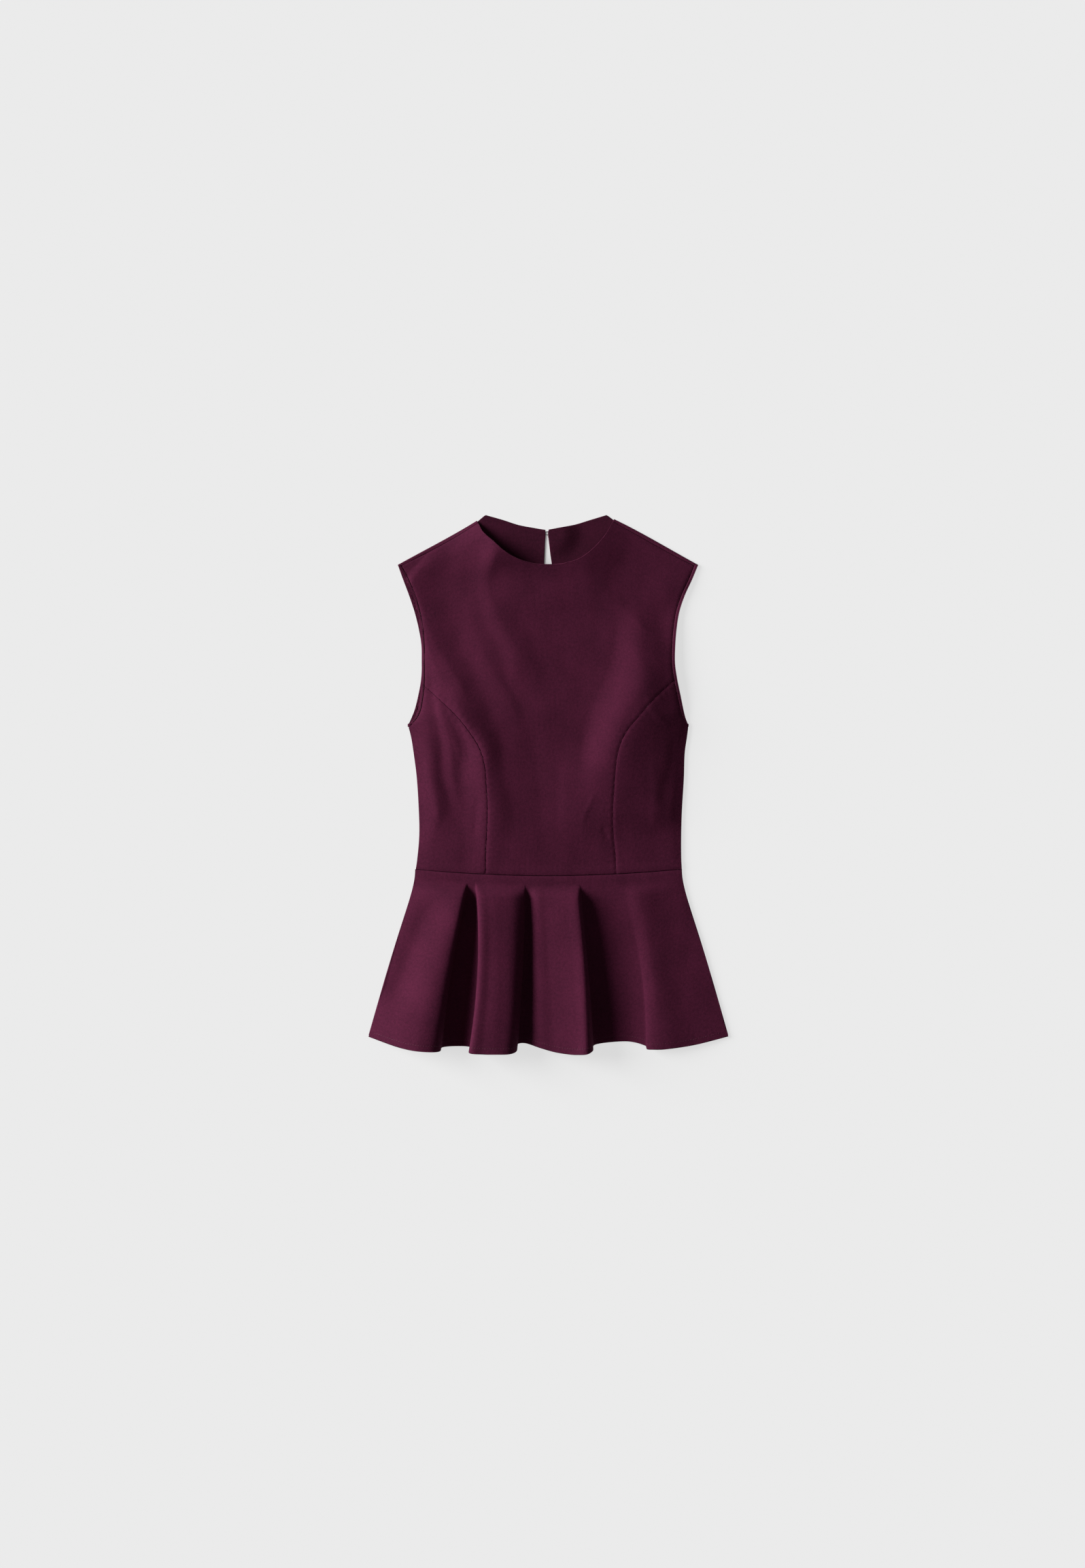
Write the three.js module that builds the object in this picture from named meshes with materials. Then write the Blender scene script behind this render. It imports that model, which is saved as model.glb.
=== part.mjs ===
import * as THREE from "three";

// A sleeveless peplum top, laid flat with its front up. Lengths are in millimetres. +X is the wearer's
// left, +Y runs to the neck and +Z goes up from the surface that the back lies on.

// Cloth
const CLOTH = 1.2;
const SEAM_GAP = 0.3;
const LAYER_GAP = 0.3;
const BACK_Z = CLOTH / 2;
const FRONT_Z = BACK_Z + CLOTH + LAYER_GAP;

// Where one layer folds over from the back to the front
const FOLD_RADIUS = (FRONT_Z - BACK_Z) / 2;
const FOLD_INSET = FOLD_RADIUS + CLOTH / 2;
const FOLD_STEPS = 4;

// Across the band round each armhole
const BINDING_WIDTH = 3.8;

// Shares of the armhole's length where it runs into the underarm, and how far it has turned down there
const ARMHOLE_FOOT = { from: 0.9, middle: 0.96, turn: 0.45 };

const LEFT = { name: "left", sign: 1 };
const RIGHT = { name: "right", sign: -1 };

// Distances from the centre line to the side seam, at heights y, for the wearer's left and right
const SIDE_SEAM = [
  { y: 76, left: 172.3, right: 172.6 },
  { y: 60, left: 170.2, right: 168.4 },
  { y: 40, left: 167.4, right: 165.2 },
  { y: 10, left: 166.4, right: 161.4 },
  { y: -30, left: 164.0, right: 158.9 },
  { y: -60, left: 163.1, right: 158.3 },
  { y: -90, left: 163.2, right: 160.8 },
  { y: -110, left: 164.3, right: 163.8 },
];

// Distances to the edge of the armhole. On the wearer's right the front lies tucked inside the back
const ARMHOLE = [
  { y: 271, left: 184.1, right: 184.9, tucked: 0 },
  { y: 253, left: 176.5, right: 178.2, tucked: 3 },
  { y: 233, left: 167.3, right: 170.7, tucked: 4 },
  { y: 213, left: 160.7, right: 164.1, tucked: 3.5 },
  { y: 193, left: 157.4, right: 159.1, tucked: 2 },
  { y: 173, left: 155.7, right: 155.8, tucked: 0.5 },
  { y: 150, left: 155.3, right: 155.2, tucked: 0 },
  { y: 130, left: 158.0, right: 156.2, tucked: 1 },
  { y: 110, left: 162.2, right: 159.8, tucked: 3 },
  { y: 93, left: 165.7, right: 164.1, tucked: 4.2 },
  { y: 84, left: 168.0, right: 167.6, tucked: 3.2 },
  { y: 79, left: 169.8, right: 169.8, tucked: 1.6 },
  { y: 76, left: 172.3, right: 172.6, tucked: 0 },
];

// The fold over each shoulder, from the neck to the tip, how far it bows up a third of the way along it,
// and how far the seam lies below it
const SHOULDER = {
  left: { neck: [80.8, 327.2], tip: [184.1, 271], bow: 0.9 },
  right: { neck: [87.6, 325.3], tip: [184.9, 271], bow: -0.8 },
};
const SHOULDER_SEAM = { atNeck: 3.6, middle: 4.8, atTip: 3.2 };

// The most that share * (1 - share) ** 2 reaches, a third of the way along
const BOW_PEAK = 4 / 27;

// Neck edges, from the shoulder to the centre line
const BACK_NECK = [
  { y: 332.3, left: 71.8, right: 77.3 },
  { y: 326.1, left: 51.4, right: 55.5 },
  { y: 320.0, left: 31.3, right: 36.5 },
  { y: 316.0, left: 11.3, right: 15.4 },
  { y: 314.0, left: 0.6, right: 3.6 },
];
const FRONT_NECK = [
  { y: 311.0, left: 72.2, right: 80.0 },
  { y: 299.0, left: 63.0, right: 67.2 },
  { y: 286.5, left: 50.5, right: 53.5 },
  { y: 277.5, left: 37.0, right: 37.5 },
  { y: 272.3, left: 20.0, right: 20.5 },
];
const FRONT_NECK_LOWEST = 270.6;

// Edges of the slit in the centre back, which ends at the top of the centre back seam
const SLIT = [
  { y: 314.0, left: 0.6, right: 3.6 },
  { y: 309.8, left: -0.4, right: 3.2 },
  { y: 300, left: 0.6, right: 3.8 },
  { y: 285, left: 2.4, right: 4.4 },
  { y: 271, left: 4.3, right: 4.8 },
  { y: 250, left: 4.6, right: 4.6 },
  { y: 220, left: 2.6, right: 2.6 },
  { y: 194, left: 0.15, right: 0.15 },
];

// Princess seams, from the armhole to the waist
const PRINCESS_TOP = { left: 129, right: 122 };
const PRINCESS = [
  { y: 106, left: 129.2, right: 133.8 },
  { y: 84, left: 110.2, right: 110.9 },
  { y: 66, left: 95.5, right: 96.5 },
  { y: 46, left: 86.4, right: 84.0 },
  { y: 25, left: 82.6, right: 77.6 },
  { y: 0, left: 80.7, right: 75.5 },
  { y: -30, left: 79.0, right: 74.2 },
  { y: -60, left: 79.8, right: 75.2 },
  { y: -85, left: 82.3, right: 76.3 },
];
const PRINCESS_WAIST = { left: 83.3, right: 76.7 };

// The waist seam sags a little between the side seams
const WAIST = { middle: -110.3, sides: -102.5, halfWidth: 163.7 };

// The form of the laid front, at heights y: where the crests and troughs that run down it pass, from its
// wearer's right to the left, and how high the front stands there
const FORM = [
  { y: 330, at: [-147, -146, -145, -143, -138, -120, -100, -85, -60, 0, 50, 100, 138],
    lift: [0.5, 0.8, 1.2, 1.8, 2.6, 4.4, 6.4, 8.4, 10, 9, 8, 3, 1] },
  { y: 290, at: [-147, -146, -145, -143, -138, -120, -100, -85, -60, 0, 50, 100, 138],
    lift: [0.5, 0.8, 1.2, 1.8, 2.4, 4.4, 8.4, 12.4, 20.5, 17, 13, 4.4, 1.8] },
  { y: 250, at: [-176, -175, -173.5, -171.5, -166, -133, -103, -92, -72, -15, 40, 95, 165],
    lift: [0.6, 0.9, 1.3, 1.9, 3.2, 1.5, 3.1, 4.3, 8.1, 10, 10, 4.4, 2.4] },
  { y: 210, at: [-162, -161, -159.5, -157, -151, -121, -92, -82, -61, -24, 78, 102, 147],
    lift: [1, 1.4, 1.9, 2.7, 3.8, 2.5, 4.8, 5.8, 9.3, 7.4, 4.8, 5.4, 2] },
  { y: 170, at: [-153.5, -152, -150, -147, -134, -109, -79, -65, -42, -13, 78, 110, 145],
    lift: [2, 2.7, 3.6, 4.8, 6.1, 4.6, 8.4, 8.5, 11.4, 8.8, 5.8, 10.4, 5.4] },
  { y: 130, at: [-150, -145, -139, -130, -114, -88, -61, -50, -34, 10, 66, 113, 146],
    lift: [2.7, 4.4, 7, 10, 12, 9.6, 12, 11.4, 11.8, 9.4, 7.4, 15.3, 8.3] },
  { y: 90, at: [-151, -139, -130, -124, -106, -66, -44, -28, 0, 25, 48, 97, 152],
    lift: [6.5, 9.6, 14.4, 15.4, 20.5, 14.6, 15, 13.8, 13.2, 11.8, 11, 20, 7] },
  { y: 50, at: [-143, -133, -118, -109, -79, -55, -34, -18, 8, 22, 39, 81, 155],
    lift: [7.8, 7.5, 11.2, 11.2, 20.5, 15.4, 14.2, 13, 12, 11.3, 11, 19.5, 3.6] },
  { y: 10, at: [-139, -129, -115, -109, -73, -52, -32, -10, 10, 25, 38, 70, 153],
    lift: [8, 7, 9.4, 9.4, 18.7, 15.8, 14.6, 13.4, 13.6, 14.6, 15.2, 18.2, 3.2] },
  { y: -30, at: [-132, -117, -109, -101, -66, -40, -25, -8, 8, 22, 38, 62, 150],
    lift: [8, 6.8, 7.2, 8, 16.6, 14, 13.2, 12.4, 12.8, 14, 14.8, 15, 3] },
  { y: -70, at: [-140, -112, -104, -96, -66, -38, -22, -6, 8, 22, 38, 60, 150],
    lift: [5, 7, 7.2, 8, 12.4, 12, 11.5, 11, 10.6, 10.4, 9.9, 9, 2.2] },
  { y: -110, at: [-140, -112, -104, -96, -66, -38, -22, -6, 8, 22, 38, 60, 150],
    lift: [3, 4.6, 5, 5.4, 7, 7.2, 7.2, 7.1, 7, 6.8, 6.4, 5.7, 1.2] },
];

// How high the front's edge stands at the left armhole
const EDGE_LIFT = [
  { y: 271, lift: 0 },
  { y: 250, lift: 1 },
  { y: 210, lift: 2 },
  { y: 170, lift: 4.5 },
  { y: 130, lift: 5 },
  { y: 100, lift: 3 },
  { y: 84, lift: 0.6 },
  { y: 76, lift: 0 },
];
const SHOULDER_RISE = 22;
const SMALLEST_GAP = 0.1;

// The flared front peplum, across from the wearer's right to the left: where each line leaves the waist,
// where it meets the hem, how high it stands there, and how far it bends sideways half way down
const PEPLUM = [
  { waist: -163.4, x: -220.6, y: -308, lift: 0, bend: 0 },
  { waist: -137, x: -190, y: -317.2, lift: 16.5, bend: 0 },
  { waist: -118, x: -172, y: -321.4, lift: 24, bend: 0 },
  { waist: -105, x: -157, y: -323.4, lift: 27, bend: 0 },
  { waist: -101, x: -141, y: -324.4, lift: 25, bend: 0 },
  { waist: -99, x: -132.5, y: -324, lift: 17, bend: -2 },
  { waist: -97.5, x: -130, y: -320.6, lift: 4, bend: -2 },
  { waist: -95, x: -113, y: -319.4, lift: 0.5, bend: 2 },
  { waist: -91, x: -95.5, y: -320.4, lift: 4, bend: 6.5 },
  { waist: -88, x: -96, y: -325.4, lift: 26, bend: 7.5 },
  { waist: -74, x: -80, y: -326.8, lift: 27.5, bend: 6 },
  { waist: -60, x: -62, y: -327, lift: 27.5, bend: 3 },
  { waist: -42, x: -47, y: -326.8, lift: 24.5, bend: 3 },
  { waist: -31, x: -39, y: -324.2, lift: 14, bend: 3 },
  { waist: -28, x: -38.3, y: -317.2, lift: 3, bend: 2 },
  { waist: -24, x: -28, y: -315.9, lift: 1, bend: 1 },
  { waist: -14, x: -10, y: -320.6, lift: 12, bend: 0 },
  { waist: -4, x: 8, y: -325.4, lift: 15, bend: 0 },
  { waist: 10, x: 26, y: -327.8, lift: 19, bend: 0 },
  { waist: 20, x: 36, y: -328, lift: 22, bend: 2 },
  { waist: 33, x: 47, y: -327, lift: 25.5, bend: 3 },
  { waist: 37, x: 54, y: -323.6, lift: 18, bend: 2 },
  { waist: 42, x: 58.5, y: -317, lift: 3, bend: 1 },
  { waist: 66, x: 96, y: -313.6, lift: 0.8, bend: 4 },
  { waist: 86, x: 118.6, y: -318.4, lift: 4, bend: 8 },
  { waist: 92, x: 120.5, y: -322.6, lift: 5.5, bend: 8 },
  { waist: 101, x: 128.5, y: -323, lift: 8.4, bend: 7 },
  { waist: 112, x: 145, y: -322.4, lift: 8.8, bend: 3 },
  { waist: 134, x: 180, y: -317.6, lift: 4.2, bend: 0 },
  { waist: 164, x: 221, y: -307.6, lift: 0, bend: 0 },
];

// A shallow trough down the flute at the wearer's right, and its half width to each side
const FLUTE_TROUGH = {
  path: [[-134, -125], [-143, -150], [-164, -200], [-183, -250], [-192, -280]],
  depth: 5,
  toRight: 16,
  toLeft: 22,
};
const TROUGH_END = 0.2;

// Shares of the peplum's length: where the flutes begin, how far on they do so softly, and where the body's
// own height has faded out. The flutes stand up fast below the seam, as this power of the share
const FLUTES_START = 0.05;
const FLUTES_SOFTEN = 0.07;
const FLUTE_GROWTH = 0.3;
const BODY_LIFT_FADES = 0.5;

// The peplum drops straight from the seam before it flares: how much, and where that is greatest
const FLARE_DELAY = { amount: 0.06, at: 0.15 };

const BACK_HEM = { middle: -313, sides: -306 };

// Button and loop on the outer face of the back neck
const BUTTON = { x: 8.5, y: 309.8, radius: 4.5, thickness: 2.2, edge: 0.5 };
const SHANK = { radius: 1.1, height: 1.4 };
const LOOP = { radius: 0.45, z: 2.95, rootZ: 0.7, bend: 1.5 };
const BUTTON_LIFT = { height: 4, flatRadius: 10, radius: 34 };

// Mesh steps
const STEPS = {
  shoulder: 7,
  frontNeck: 18,
  backNeck: 9,
  armhole: 16,
  frontArmhole: 11,
  princess: 18,
  side: 9,
  sideAcross: 9,
  slit: 16,
  flute: 3,
  peplumDown: 13,
  backPeplumDown: 5,
  backPeplumAcross: 16,
  roundButton: 24,
  loopTurn: 6,
  loopLength: 30,
  roundLoop: 4,
};

// Numbers and points

function blend(a, b, t) {
  return a + (b - a) * t;
}

function smooth(t) {
  const s = Math.min(Math.max(t, 0), 1);
  return s * s * (3 - 2 * s);
}

// A smooth reading of one column of a table at height y, past its ends along the last stretch
function readColumn(rows, column, y) {
  const last = rows.length - 2;
  let i = 0;
  while (i < last && y < rows[i + 1].y) i += 1;
  const slope = (k) => {
    const a = rows[Math.max(k - 1, 0)];
    const b = rows[Math.min(k + 1, rows.length - 1)];
    return (b[column] - a[column]) / (b.y - a.y);
  };
  const [from, to] = [rows[i], rows[i + 1]];
  const span = to.y - from.y;
  const t = (y - from.y) / span;
  if (t < 0) return from[column] + slope(i) * (y - from.y);
  if (t > 1) return to[column] + slope(i + 1) * (y - to.y);
  const h = t * t * (3 - 2 * t);
  const start = slope(i) * span * t * (1 - t) * (1 - t);
  const end = slope(i + 1) * span * t * t * (1 - t);
  return from[column] * (1 - h) + to[column] * h + start - end;
}

// The columns of the form as tables of their own
function formColumns(list) {
  return FORM[0][list].map((_, k) => FORM.map((row) => ({ y: row.y, value: row[list][k] })));
}

const FORM_COLUMNS = { at: formColumns("at"), lift: formColumns("lift") };

function plan(x, y) {
  return new THREE.Vector3(x, y, 0);
}

function curveThrough(points) {
  return new THREE.CatmullRomCurve3(points, false, "centripetal");
}

// Points spaced evenly along a curve between two shares of its length
function pointsAlong(curve, from, to, steps) {
  const points = [];
  for (let i = 0; i <= steps; i += 1) points.push(curve.getPointAt(blend(from, to, i / steps)));
  return points;
}

// The share of a falling curve's length at which it passes height y
function shareAtHeight(curve, y) {
  let [low, high] = [0, 1];
  for (let i = 0; i < 30; i += 1) {
    const middle = (low + high) / 2;
    if (curve.getPointAt(middle).y > y) low = middle;
    else high = middle;
  }
  return low;
}

function joined(...runs) {
  return runs.flatMap((run, i) => (i ? run.slice(1) : run));
}

// Moves a run of points sideways in plan, to the left of its direction where distance is positive
function shifted(points, distance) {
  return points.map((point, i) => {
    const ahead = points[Math.min(i + 1, points.length - 1)];
    const behind = points[Math.max(i - 1, 0)];
    const along = ahead.clone().sub(behind).normalize();
    return point.clone().add(plan(-along.y * distance, along.x * distance));
  });
}

// The outline of the garment

function tableCurve(rows, side, ...ends) {
  return curveThrough([...rows.map((row) => plan(side.sign * row[side.name], row.y)), ...ends]);
}

function waistHeight(x) {
  return blend(WAIST.middle, WAIST.sides, (x / WAIST.halfWidth) ** 2);
}

function shoulderFold(side) {
  const [neck, tip] = [SHOULDER[side.name].neck, SHOULDER[side.name].tip];
  const from = plan(side.sign * neck[0], neck[1]);
  const to = plan(side.sign * tip[0], tip[1]);
  const along = to.clone().sub(from).normalize();
  const inward = plan(side.sign * along.y, -side.sign * along.x);
  return { from, to, along, inward };
}

// A point on the shoulder: share runs from the neck to the tip, and depth in from the fold
function shoulderPoint(side, share, depth) {
  const fold = shoulderFold(side);
  const bow = (SHOULDER[side.name].bow * share * (1 - share) ** 2) / BOW_PEAK;
  return fold.from.clone().lerp(fold.to, share).addScaledVector(fold.inward, depth - bow);
}

function seamDepth(share) {
  const arch = 4 * share * (1 - share);
  const straight = blend(SHOULDER_SEAM.atNeck, SHOULDER_SEAM.atTip, share);
  const rise = SHOULDER_SEAM.middle - (SHOULDER_SEAM.atNeck + SHOULDER_SEAM.atTip) / 2;
  return straight + rise * arch;
}

// The armhole of one layer: its edge, and at each point the direction into the cloth
function armholeEdge(side, isFront) {
  const tucked = isFront && side === RIGHT ? 1 : 0;
  const points = ARMHOLE.map((row) => plan(side.sign * (row[side.name] - tucked * row.tucked), row.y));
  const fold = shoulderFold(side);
  points[0].addScaledVector(fold.inward, FOLD_INSET);
  points[points.length - 1].x -= side.sign * FOLD_INSET;
  const curve = curveThrough(points);
  const edge = pointsAlong(curve, 0, ARMHOLE_FOOT.from, STEPS.armhole);
  edge.push(curve.getPointAt(ARMHOLE_FOOT.middle), curve.getPointAt(1));
  const down = plan(0, -1);
  return edge.map((point, i) => {
    const ahead = edge[Math.min(i + 1, edge.length - 1)];
    const behind = edge[Math.max(i - 1, 0)];
    const along = ahead.clone().sub(behind).normalize();
    const into = plan(side.sign * along.y, -side.sign * along.x);
    if (i === 0) into.copy(fold.along).negate();
    if (i === edge.length - 1) into.copy(down);
    if (i === edge.length - 2) into.lerp(down, ARMHOLE_FOOT.turn).normalize();
    return { point, into };
  });
}

function panelArmhole(side, isFront) {
  const inset = BINDING_WIDTH + SEAM_GAP;
  return armholeEdge(side, isFront).map(({ point, into }) => point.clone().addScaledVector(into, inset));
}

function princessSeam(side, shift) {
  const armhole = curveThrough(panelArmhole(side, true));
  const top = armhole.getPointAt(shareAtHeight(armhole, PRINCESS_TOP[side.name]));
  const foot = side.sign * PRINCESS_WAIST[side.name];
  const curve = tableCurve(PRINCESS, side, plan(foot, waistHeight(foot)));
  const points = pointsAlong(curveThrough([top, ...curve.points]), 0, 1, STEPS.princess);
  return shifted(points, side.sign * shift);
}

// Heights of the laid cloth

function edgeRise(distance, reach) {
  const share = Math.min(Math.max(distance / reach, 0), 1);
  return 1 - (1 - share) ** 2;
}

function sideDistance(side, x, y) {
  const rows = y > SIDE_SEAM[0].y ? ARMHOLE : SIDE_SEAM;
  return readColumn(rows, side.name, y) - side.sign * x;
}

function shoulderDistance(side, x, y) {
  const fold = shoulderFold(side);
  return plan(x, y).sub(fold.from).dot(fold.inward);
}

// The depth of a trough whose path runs down: its distance is negative on the wearer's right
function troughDepth(x, y, { path, depth, toRight, toLeft }) {
  const lengths = path.slice(1).map(([bx, by], i) => Math.hypot(bx - path[i][0], by - path[i][1]));
  const whole = lengths.reduce((sum, length) => sum + length, 0);
  let nearest = { distance: Infinity, share: 0 };
  let gone = 0;
  for (let i = 0; i + 1 < path.length; i += 1) {
    const [ax, ay] = path[i];
    const [dx, dy] = [path[i + 1][0] - ax, path[i + 1][1] - ay];
    const t = Math.min(Math.max(((x - ax) * dx + (y - ay) * dy) / lengths[i] ** 2, 0), 1);
    const distance = Math.hypot(x - ax - t * dx, y - ay - t * dy);
    if (distance < nearest.distance) {
      const width = dx * (y - ay) - dy * (x - ax) < 0 ? toRight : toLeft;
      nearest = { distance, width, share: (gone + t * lengths[i]) / whole };
    }
    gone += lengths[i];
  }
  const fades = smooth(nearest.share / TROUGH_END) * smooth((1 - nearest.share) / TROUGH_END);
  return depth * fades * Math.exp(-((nearest.distance / nearest.width) ** 2));
}

// The height between the lines of the form, with no overshoot
function frontForm(x, y) {
  const read = (list) => FORM_COLUMNS[list].map((rows) => readColumn(rows, "value", y));
  const at = [-sideDistance(RIGHT, 0, y), ...read("at"), sideDistance(LEFT, 0, y)];
  const armholeFoot = EDGE_LIFT[EDGE_LIFT.length - 1].y;
  const lift = [0, ...read("lift"), readColumn(EDGE_LIFT, "lift", Math.max(y, armholeFoot))];
  const last = at.length - 2;
  let k = 0;
  while (k < last && x > at[k + 1]) k += 1;
  const gap = (i) => Math.max(at[i + 1] - at[i], SMALLEST_GAP);
  const rise = (i) => (lift[i + 1] - lift[i]) / gap(i);
  const slope = (i) => {
    if (i === 0) return rise(0);
    if (i > last) return rise(last);
    const [before, after] = [rise(i - 1), rise(i)];
    return before * after > 0 ? (2 * before * after) / (before + after) : 0;
  };
  const t = Math.min(Math.max((x - at[k]) / gap(k), 0), 1);
  const ease = smooth(t);
  const bend = gap(k) * t * (1 - t) * (slope(k) * (1 - t) - slope(k + 1) * t);
  return blend(lift[k], lift[k + 1], ease) + bend;
}

// How far the front stands above its edges at a place
function frontRelief(x, y) {
  const rise = (side) => edgeRise(shoulderDistance(side, x, y) - FOLD_INSET, SHOULDER_RISE);
  return frontForm(x, y) * rise(LEFT) * rise(RIGHT);
}

function onFront(point) {
  return new THREE.Vector3(point.x, point.y, FRONT_Z + frontRelief(point.x, point.y));
}

// The back lies flat, but for the corner that rests on the button
function onBack(point) {
  const away = Math.hypot(point.x - BUTTON.x, point.y - BUTTON.y);
  const share = (away - BUTTON_LIFT.flatRadius) / (BUTTON_LIFT.radius - BUTTON_LIFT.flatRadius);
  const lift = point.x > -BUTTON_LIFT.flatRadius / 4 ? BUTTON_LIFT.height * (1 - smooth(share)) : 0;
  return new THREE.Vector3(point.x, point.y, BACK_Z + lift);
}

// Sheets of cloth

// Fills four edges with rows of points: bottom and top run across, start and end run up from them
function filled(bottom, top, start, end) {
  const [across, up] = [bottom.length - 1, start.length - 1];
  return start.map((_, r) => {
    const v = r / up;
    return bottom.map((__, c) => {
      const u = c / across;
      const point = bottom[c].clone().multiplyScalar(1 - v).addScaledVector(top[c], v);
      point.addScaledVector(start[r], 1 - u).addScaledVector(end[r], u);
      point.addScaledVector(bottom[0], -(1 - u) * (1 - v)).addScaledVector(bottom[across], -u * (1 - v));
      return point.addScaledVector(top[0], -(1 - u) * v).addScaledVector(top[across], -u * v);
    });
  });
}

// Rows of points become one sheet. A row may leave places empty, and a closed one joins its last row
// to its first
function sheetOf(rows, closed = false) {
  const points = [];
  const index = rows.map((row) => row.map((point) => (point ? points.push(point) - 1 : -1)));
  const quads = [];
  const rowCount = closed ? rows.length : rows.length - 1;
  for (let r = 0; r < rowCount; r += 1) {
    const [here, next] = [index[r], index[(r + 1) % rows.length]];
    for (let c = 0; c + 1 < here.length; c += 1) {
      const quad = [here[c], here[c + 1], next[c + 1], next[c]];
      if (quad.every((corner) => corner >= 0)) quads.push(quad);
    }
  }
  return { points, quads };
}

// A sheet becomes a closed wall: its points moved out and in along their normals, and a rim
function wallOf({ points, quads }, thickness = CLOTH) {
  const normals = points.map(() => new THREE.Vector3());
  for (const [a, b, c, d] of quads) {
    const one = points[c].clone().sub(points[a]);
    const other = points[d].clone().sub(points[b]);
    const normal = one.cross(other);
    for (const corner of [a, b, c, d]) normals[corner].add(normal);
  }
  const positions = [];
  for (const side of [0.5, -0.5]) {
    points.forEach((point, i) => {
      const moved = point.clone().addScaledVector(normals[i].normalize(), side * thickness);
      positions.push(moved.x, moved.y, moved.z);
    });
  }
  const inner = points.length;
  const faces = [];
  const edges = new Map();
  for (const quad of quads) {
    const [a, b, c, d] = quad;
    faces.push(a, b, c, a, c, d);
    faces.push(inner + a, inner + c, inner + b, inner + a, inner + d, inner + c);
    quad.forEach((from, k) => edges.set(`${from} ${quad[(k + 1) % 4]}`, [from, quad[(k + 1) % 4]]));
  }
  for (const [from, to] of edges.values()) {
    if (!edges.has(`${to} ${from}`)) faces.push(from, inner + from, inner + to, from, inner + to, to);
  }
  const geometry = new THREE.BufferGeometry();
  geometry.setAttribute("position", new THREE.Float32BufferAttribute(positions, 3));
  geometry.setIndex(faces);
  return geometry;
}

// Bodice

// The share of the shoulder that the panels take, short of the armhole's band
function shoulderShare(side) {
  const fold = shoulderFold(side);
  return 1 - (BINDING_WIDTH + SEAM_GAP) / fold.from.distanceTo(fold.to);
}

// The shoulder seam, from the neck to the armhole, on the strip of the back or on the front
function shoulderSeam(side, shift) {
  const armhole = panelArmhole(side, true);
  const points = [];
  for (let i = 0; i <= STEPS.shoulder; i += 1) {
    const share = (i / STEPS.shoulder) * shoulderShare(side);
    points.push(shoulderPoint(side, share, seamDepth(share) + shift));
  }
  const curve = curveThrough(armhole);
  const reach = (seamDepth(1) + shift - FOLD_INSET) / curve.getLength();
  points[STEPS.shoulder] = curve.getPointAt(Math.max(reach, 0));
  return points;
}

// The edge of a bodice piece along the waist seam
function waistEdge(fromX, toX, steps) {
  const points = [];
  for (let i = 0; i <= steps; i += 1) {
    const x = blend(fromX, toX, i / steps);
    points.push(plan(x, waistHeight(x) + SEAM_GAP / 2));
  }
  return points;
}

function frontCentre() {
  const halves = [RIGHT, LEFT].map((side) => {
    const seam = shoulderSeam(side, SEAM_GAP / 2);
    const neck = FRONT_NECK.map((row) => plan(side.sign * row[side.name], row.y));
    const armhole = curveThrough(panelArmhole(side, true));
    const top = seam[STEPS.shoulder];
    const from = shareAtHeight(armhole, top.y);
    const to = shareAtHeight(armhole, PRINCESS_TOP[side.name]);
    const princess = princessSeam(side, -SEAM_GAP / 2);
    const edge = pointsAlong(armhole, from, to, STEPS.frontArmhole);
    edge[STEPS.frontArmhole] = princess[0].clone();
    edge[0] = top.clone();
    return { seam, neck, outer: joined(edge, princess).reverse() };
  });
  const [right, left] = halves;
  const lowest = plan(0, FRONT_NECK_LOWEST);
  const neckPoints = [right.seam[0], ...right.neck, lowest, ...left.neck.reverse(), left.seam[0]];
  const neck = pointsAlong(curveThrough(neckPoints), 0, 1, STEPS.frontNeck);
  const top = joined([...right.seam].reverse(), neck, left.seam);
  const bottom = waistEdge(right.outer[0].x, left.outer[0].x, top.length - 1);
  right.outer[0].copy(bottom[0]);
  left.outer[0].copy(bottom[bottom.length - 1]);
  const rows = filled(bottom, top, right.outer, left.outer);
  return wallOf(sheetOf(rows.map((row) => row.map(onFront))));
}

function sideSeam(side, from, to) {
  const points = [];
  for (let i = 0; i <= STEPS.side; i += 1) {
    const y = blend(from, to, i / STEPS.side);
    points.push(plan(side.sign * readColumn(SIDE_SEAM, side.name, y), y));
  }
  return points;
}

function frontSide(side) {
  const armhole = curveThrough(panelArmhole(side, true));
  const princess = princessSeam(side, SEAM_GAP / 2).reverse();
  const top = pointsAlong(armhole, shareAtHeight(armhole, PRINCESS_TOP[side.name]), 1, STEPS.sideAcross);
  const corner = top[STEPS.sideAcross];
  const waistX = side.sign * readColumn(SIDE_SEAM, side.name, WAIST.sides);
  const seam = curveThrough(sideSeam(side, WAIST.sides + SEAM_GAP / 2, corner.y));
  const outer = pointsAlong(seam, 0, 1, STEPS.princess);
  outer[STEPS.princess] = corner.clone();
  top[0] = princess[STEPS.princess].clone();
  const bottom = waistEdge(princess[0].x, waistX, STEPS.sideAcross);
  princess[0].copy(bottom[0]);
  outer[0].copy(bottom[STEPS.sideAcross]);
  return wallOf(sheetOf(filled(bottom, top, princess, outer).map((row) => row.map(onFront))));
}

// The cloth that turns over a fold: one row of points for each step of the turn
function foldRows(row, outward) {
  const rows = [];
  for (let k = 1; k <= FOLD_STEPS; k += 1) {
    const angle = (k / FOLD_STEPS) * Math.PI;
    rows.push(row.map((point) => {
      if (!point) return null;
      const turned = point.clone().addScaledVector(outward, FOLD_RADIUS * Math.sin(angle));
      turned.z = BACK_Z + FOLD_RADIUS * (1 - Math.cos(angle));
      return turned;
    }));
  }
  return rows;
}

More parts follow.
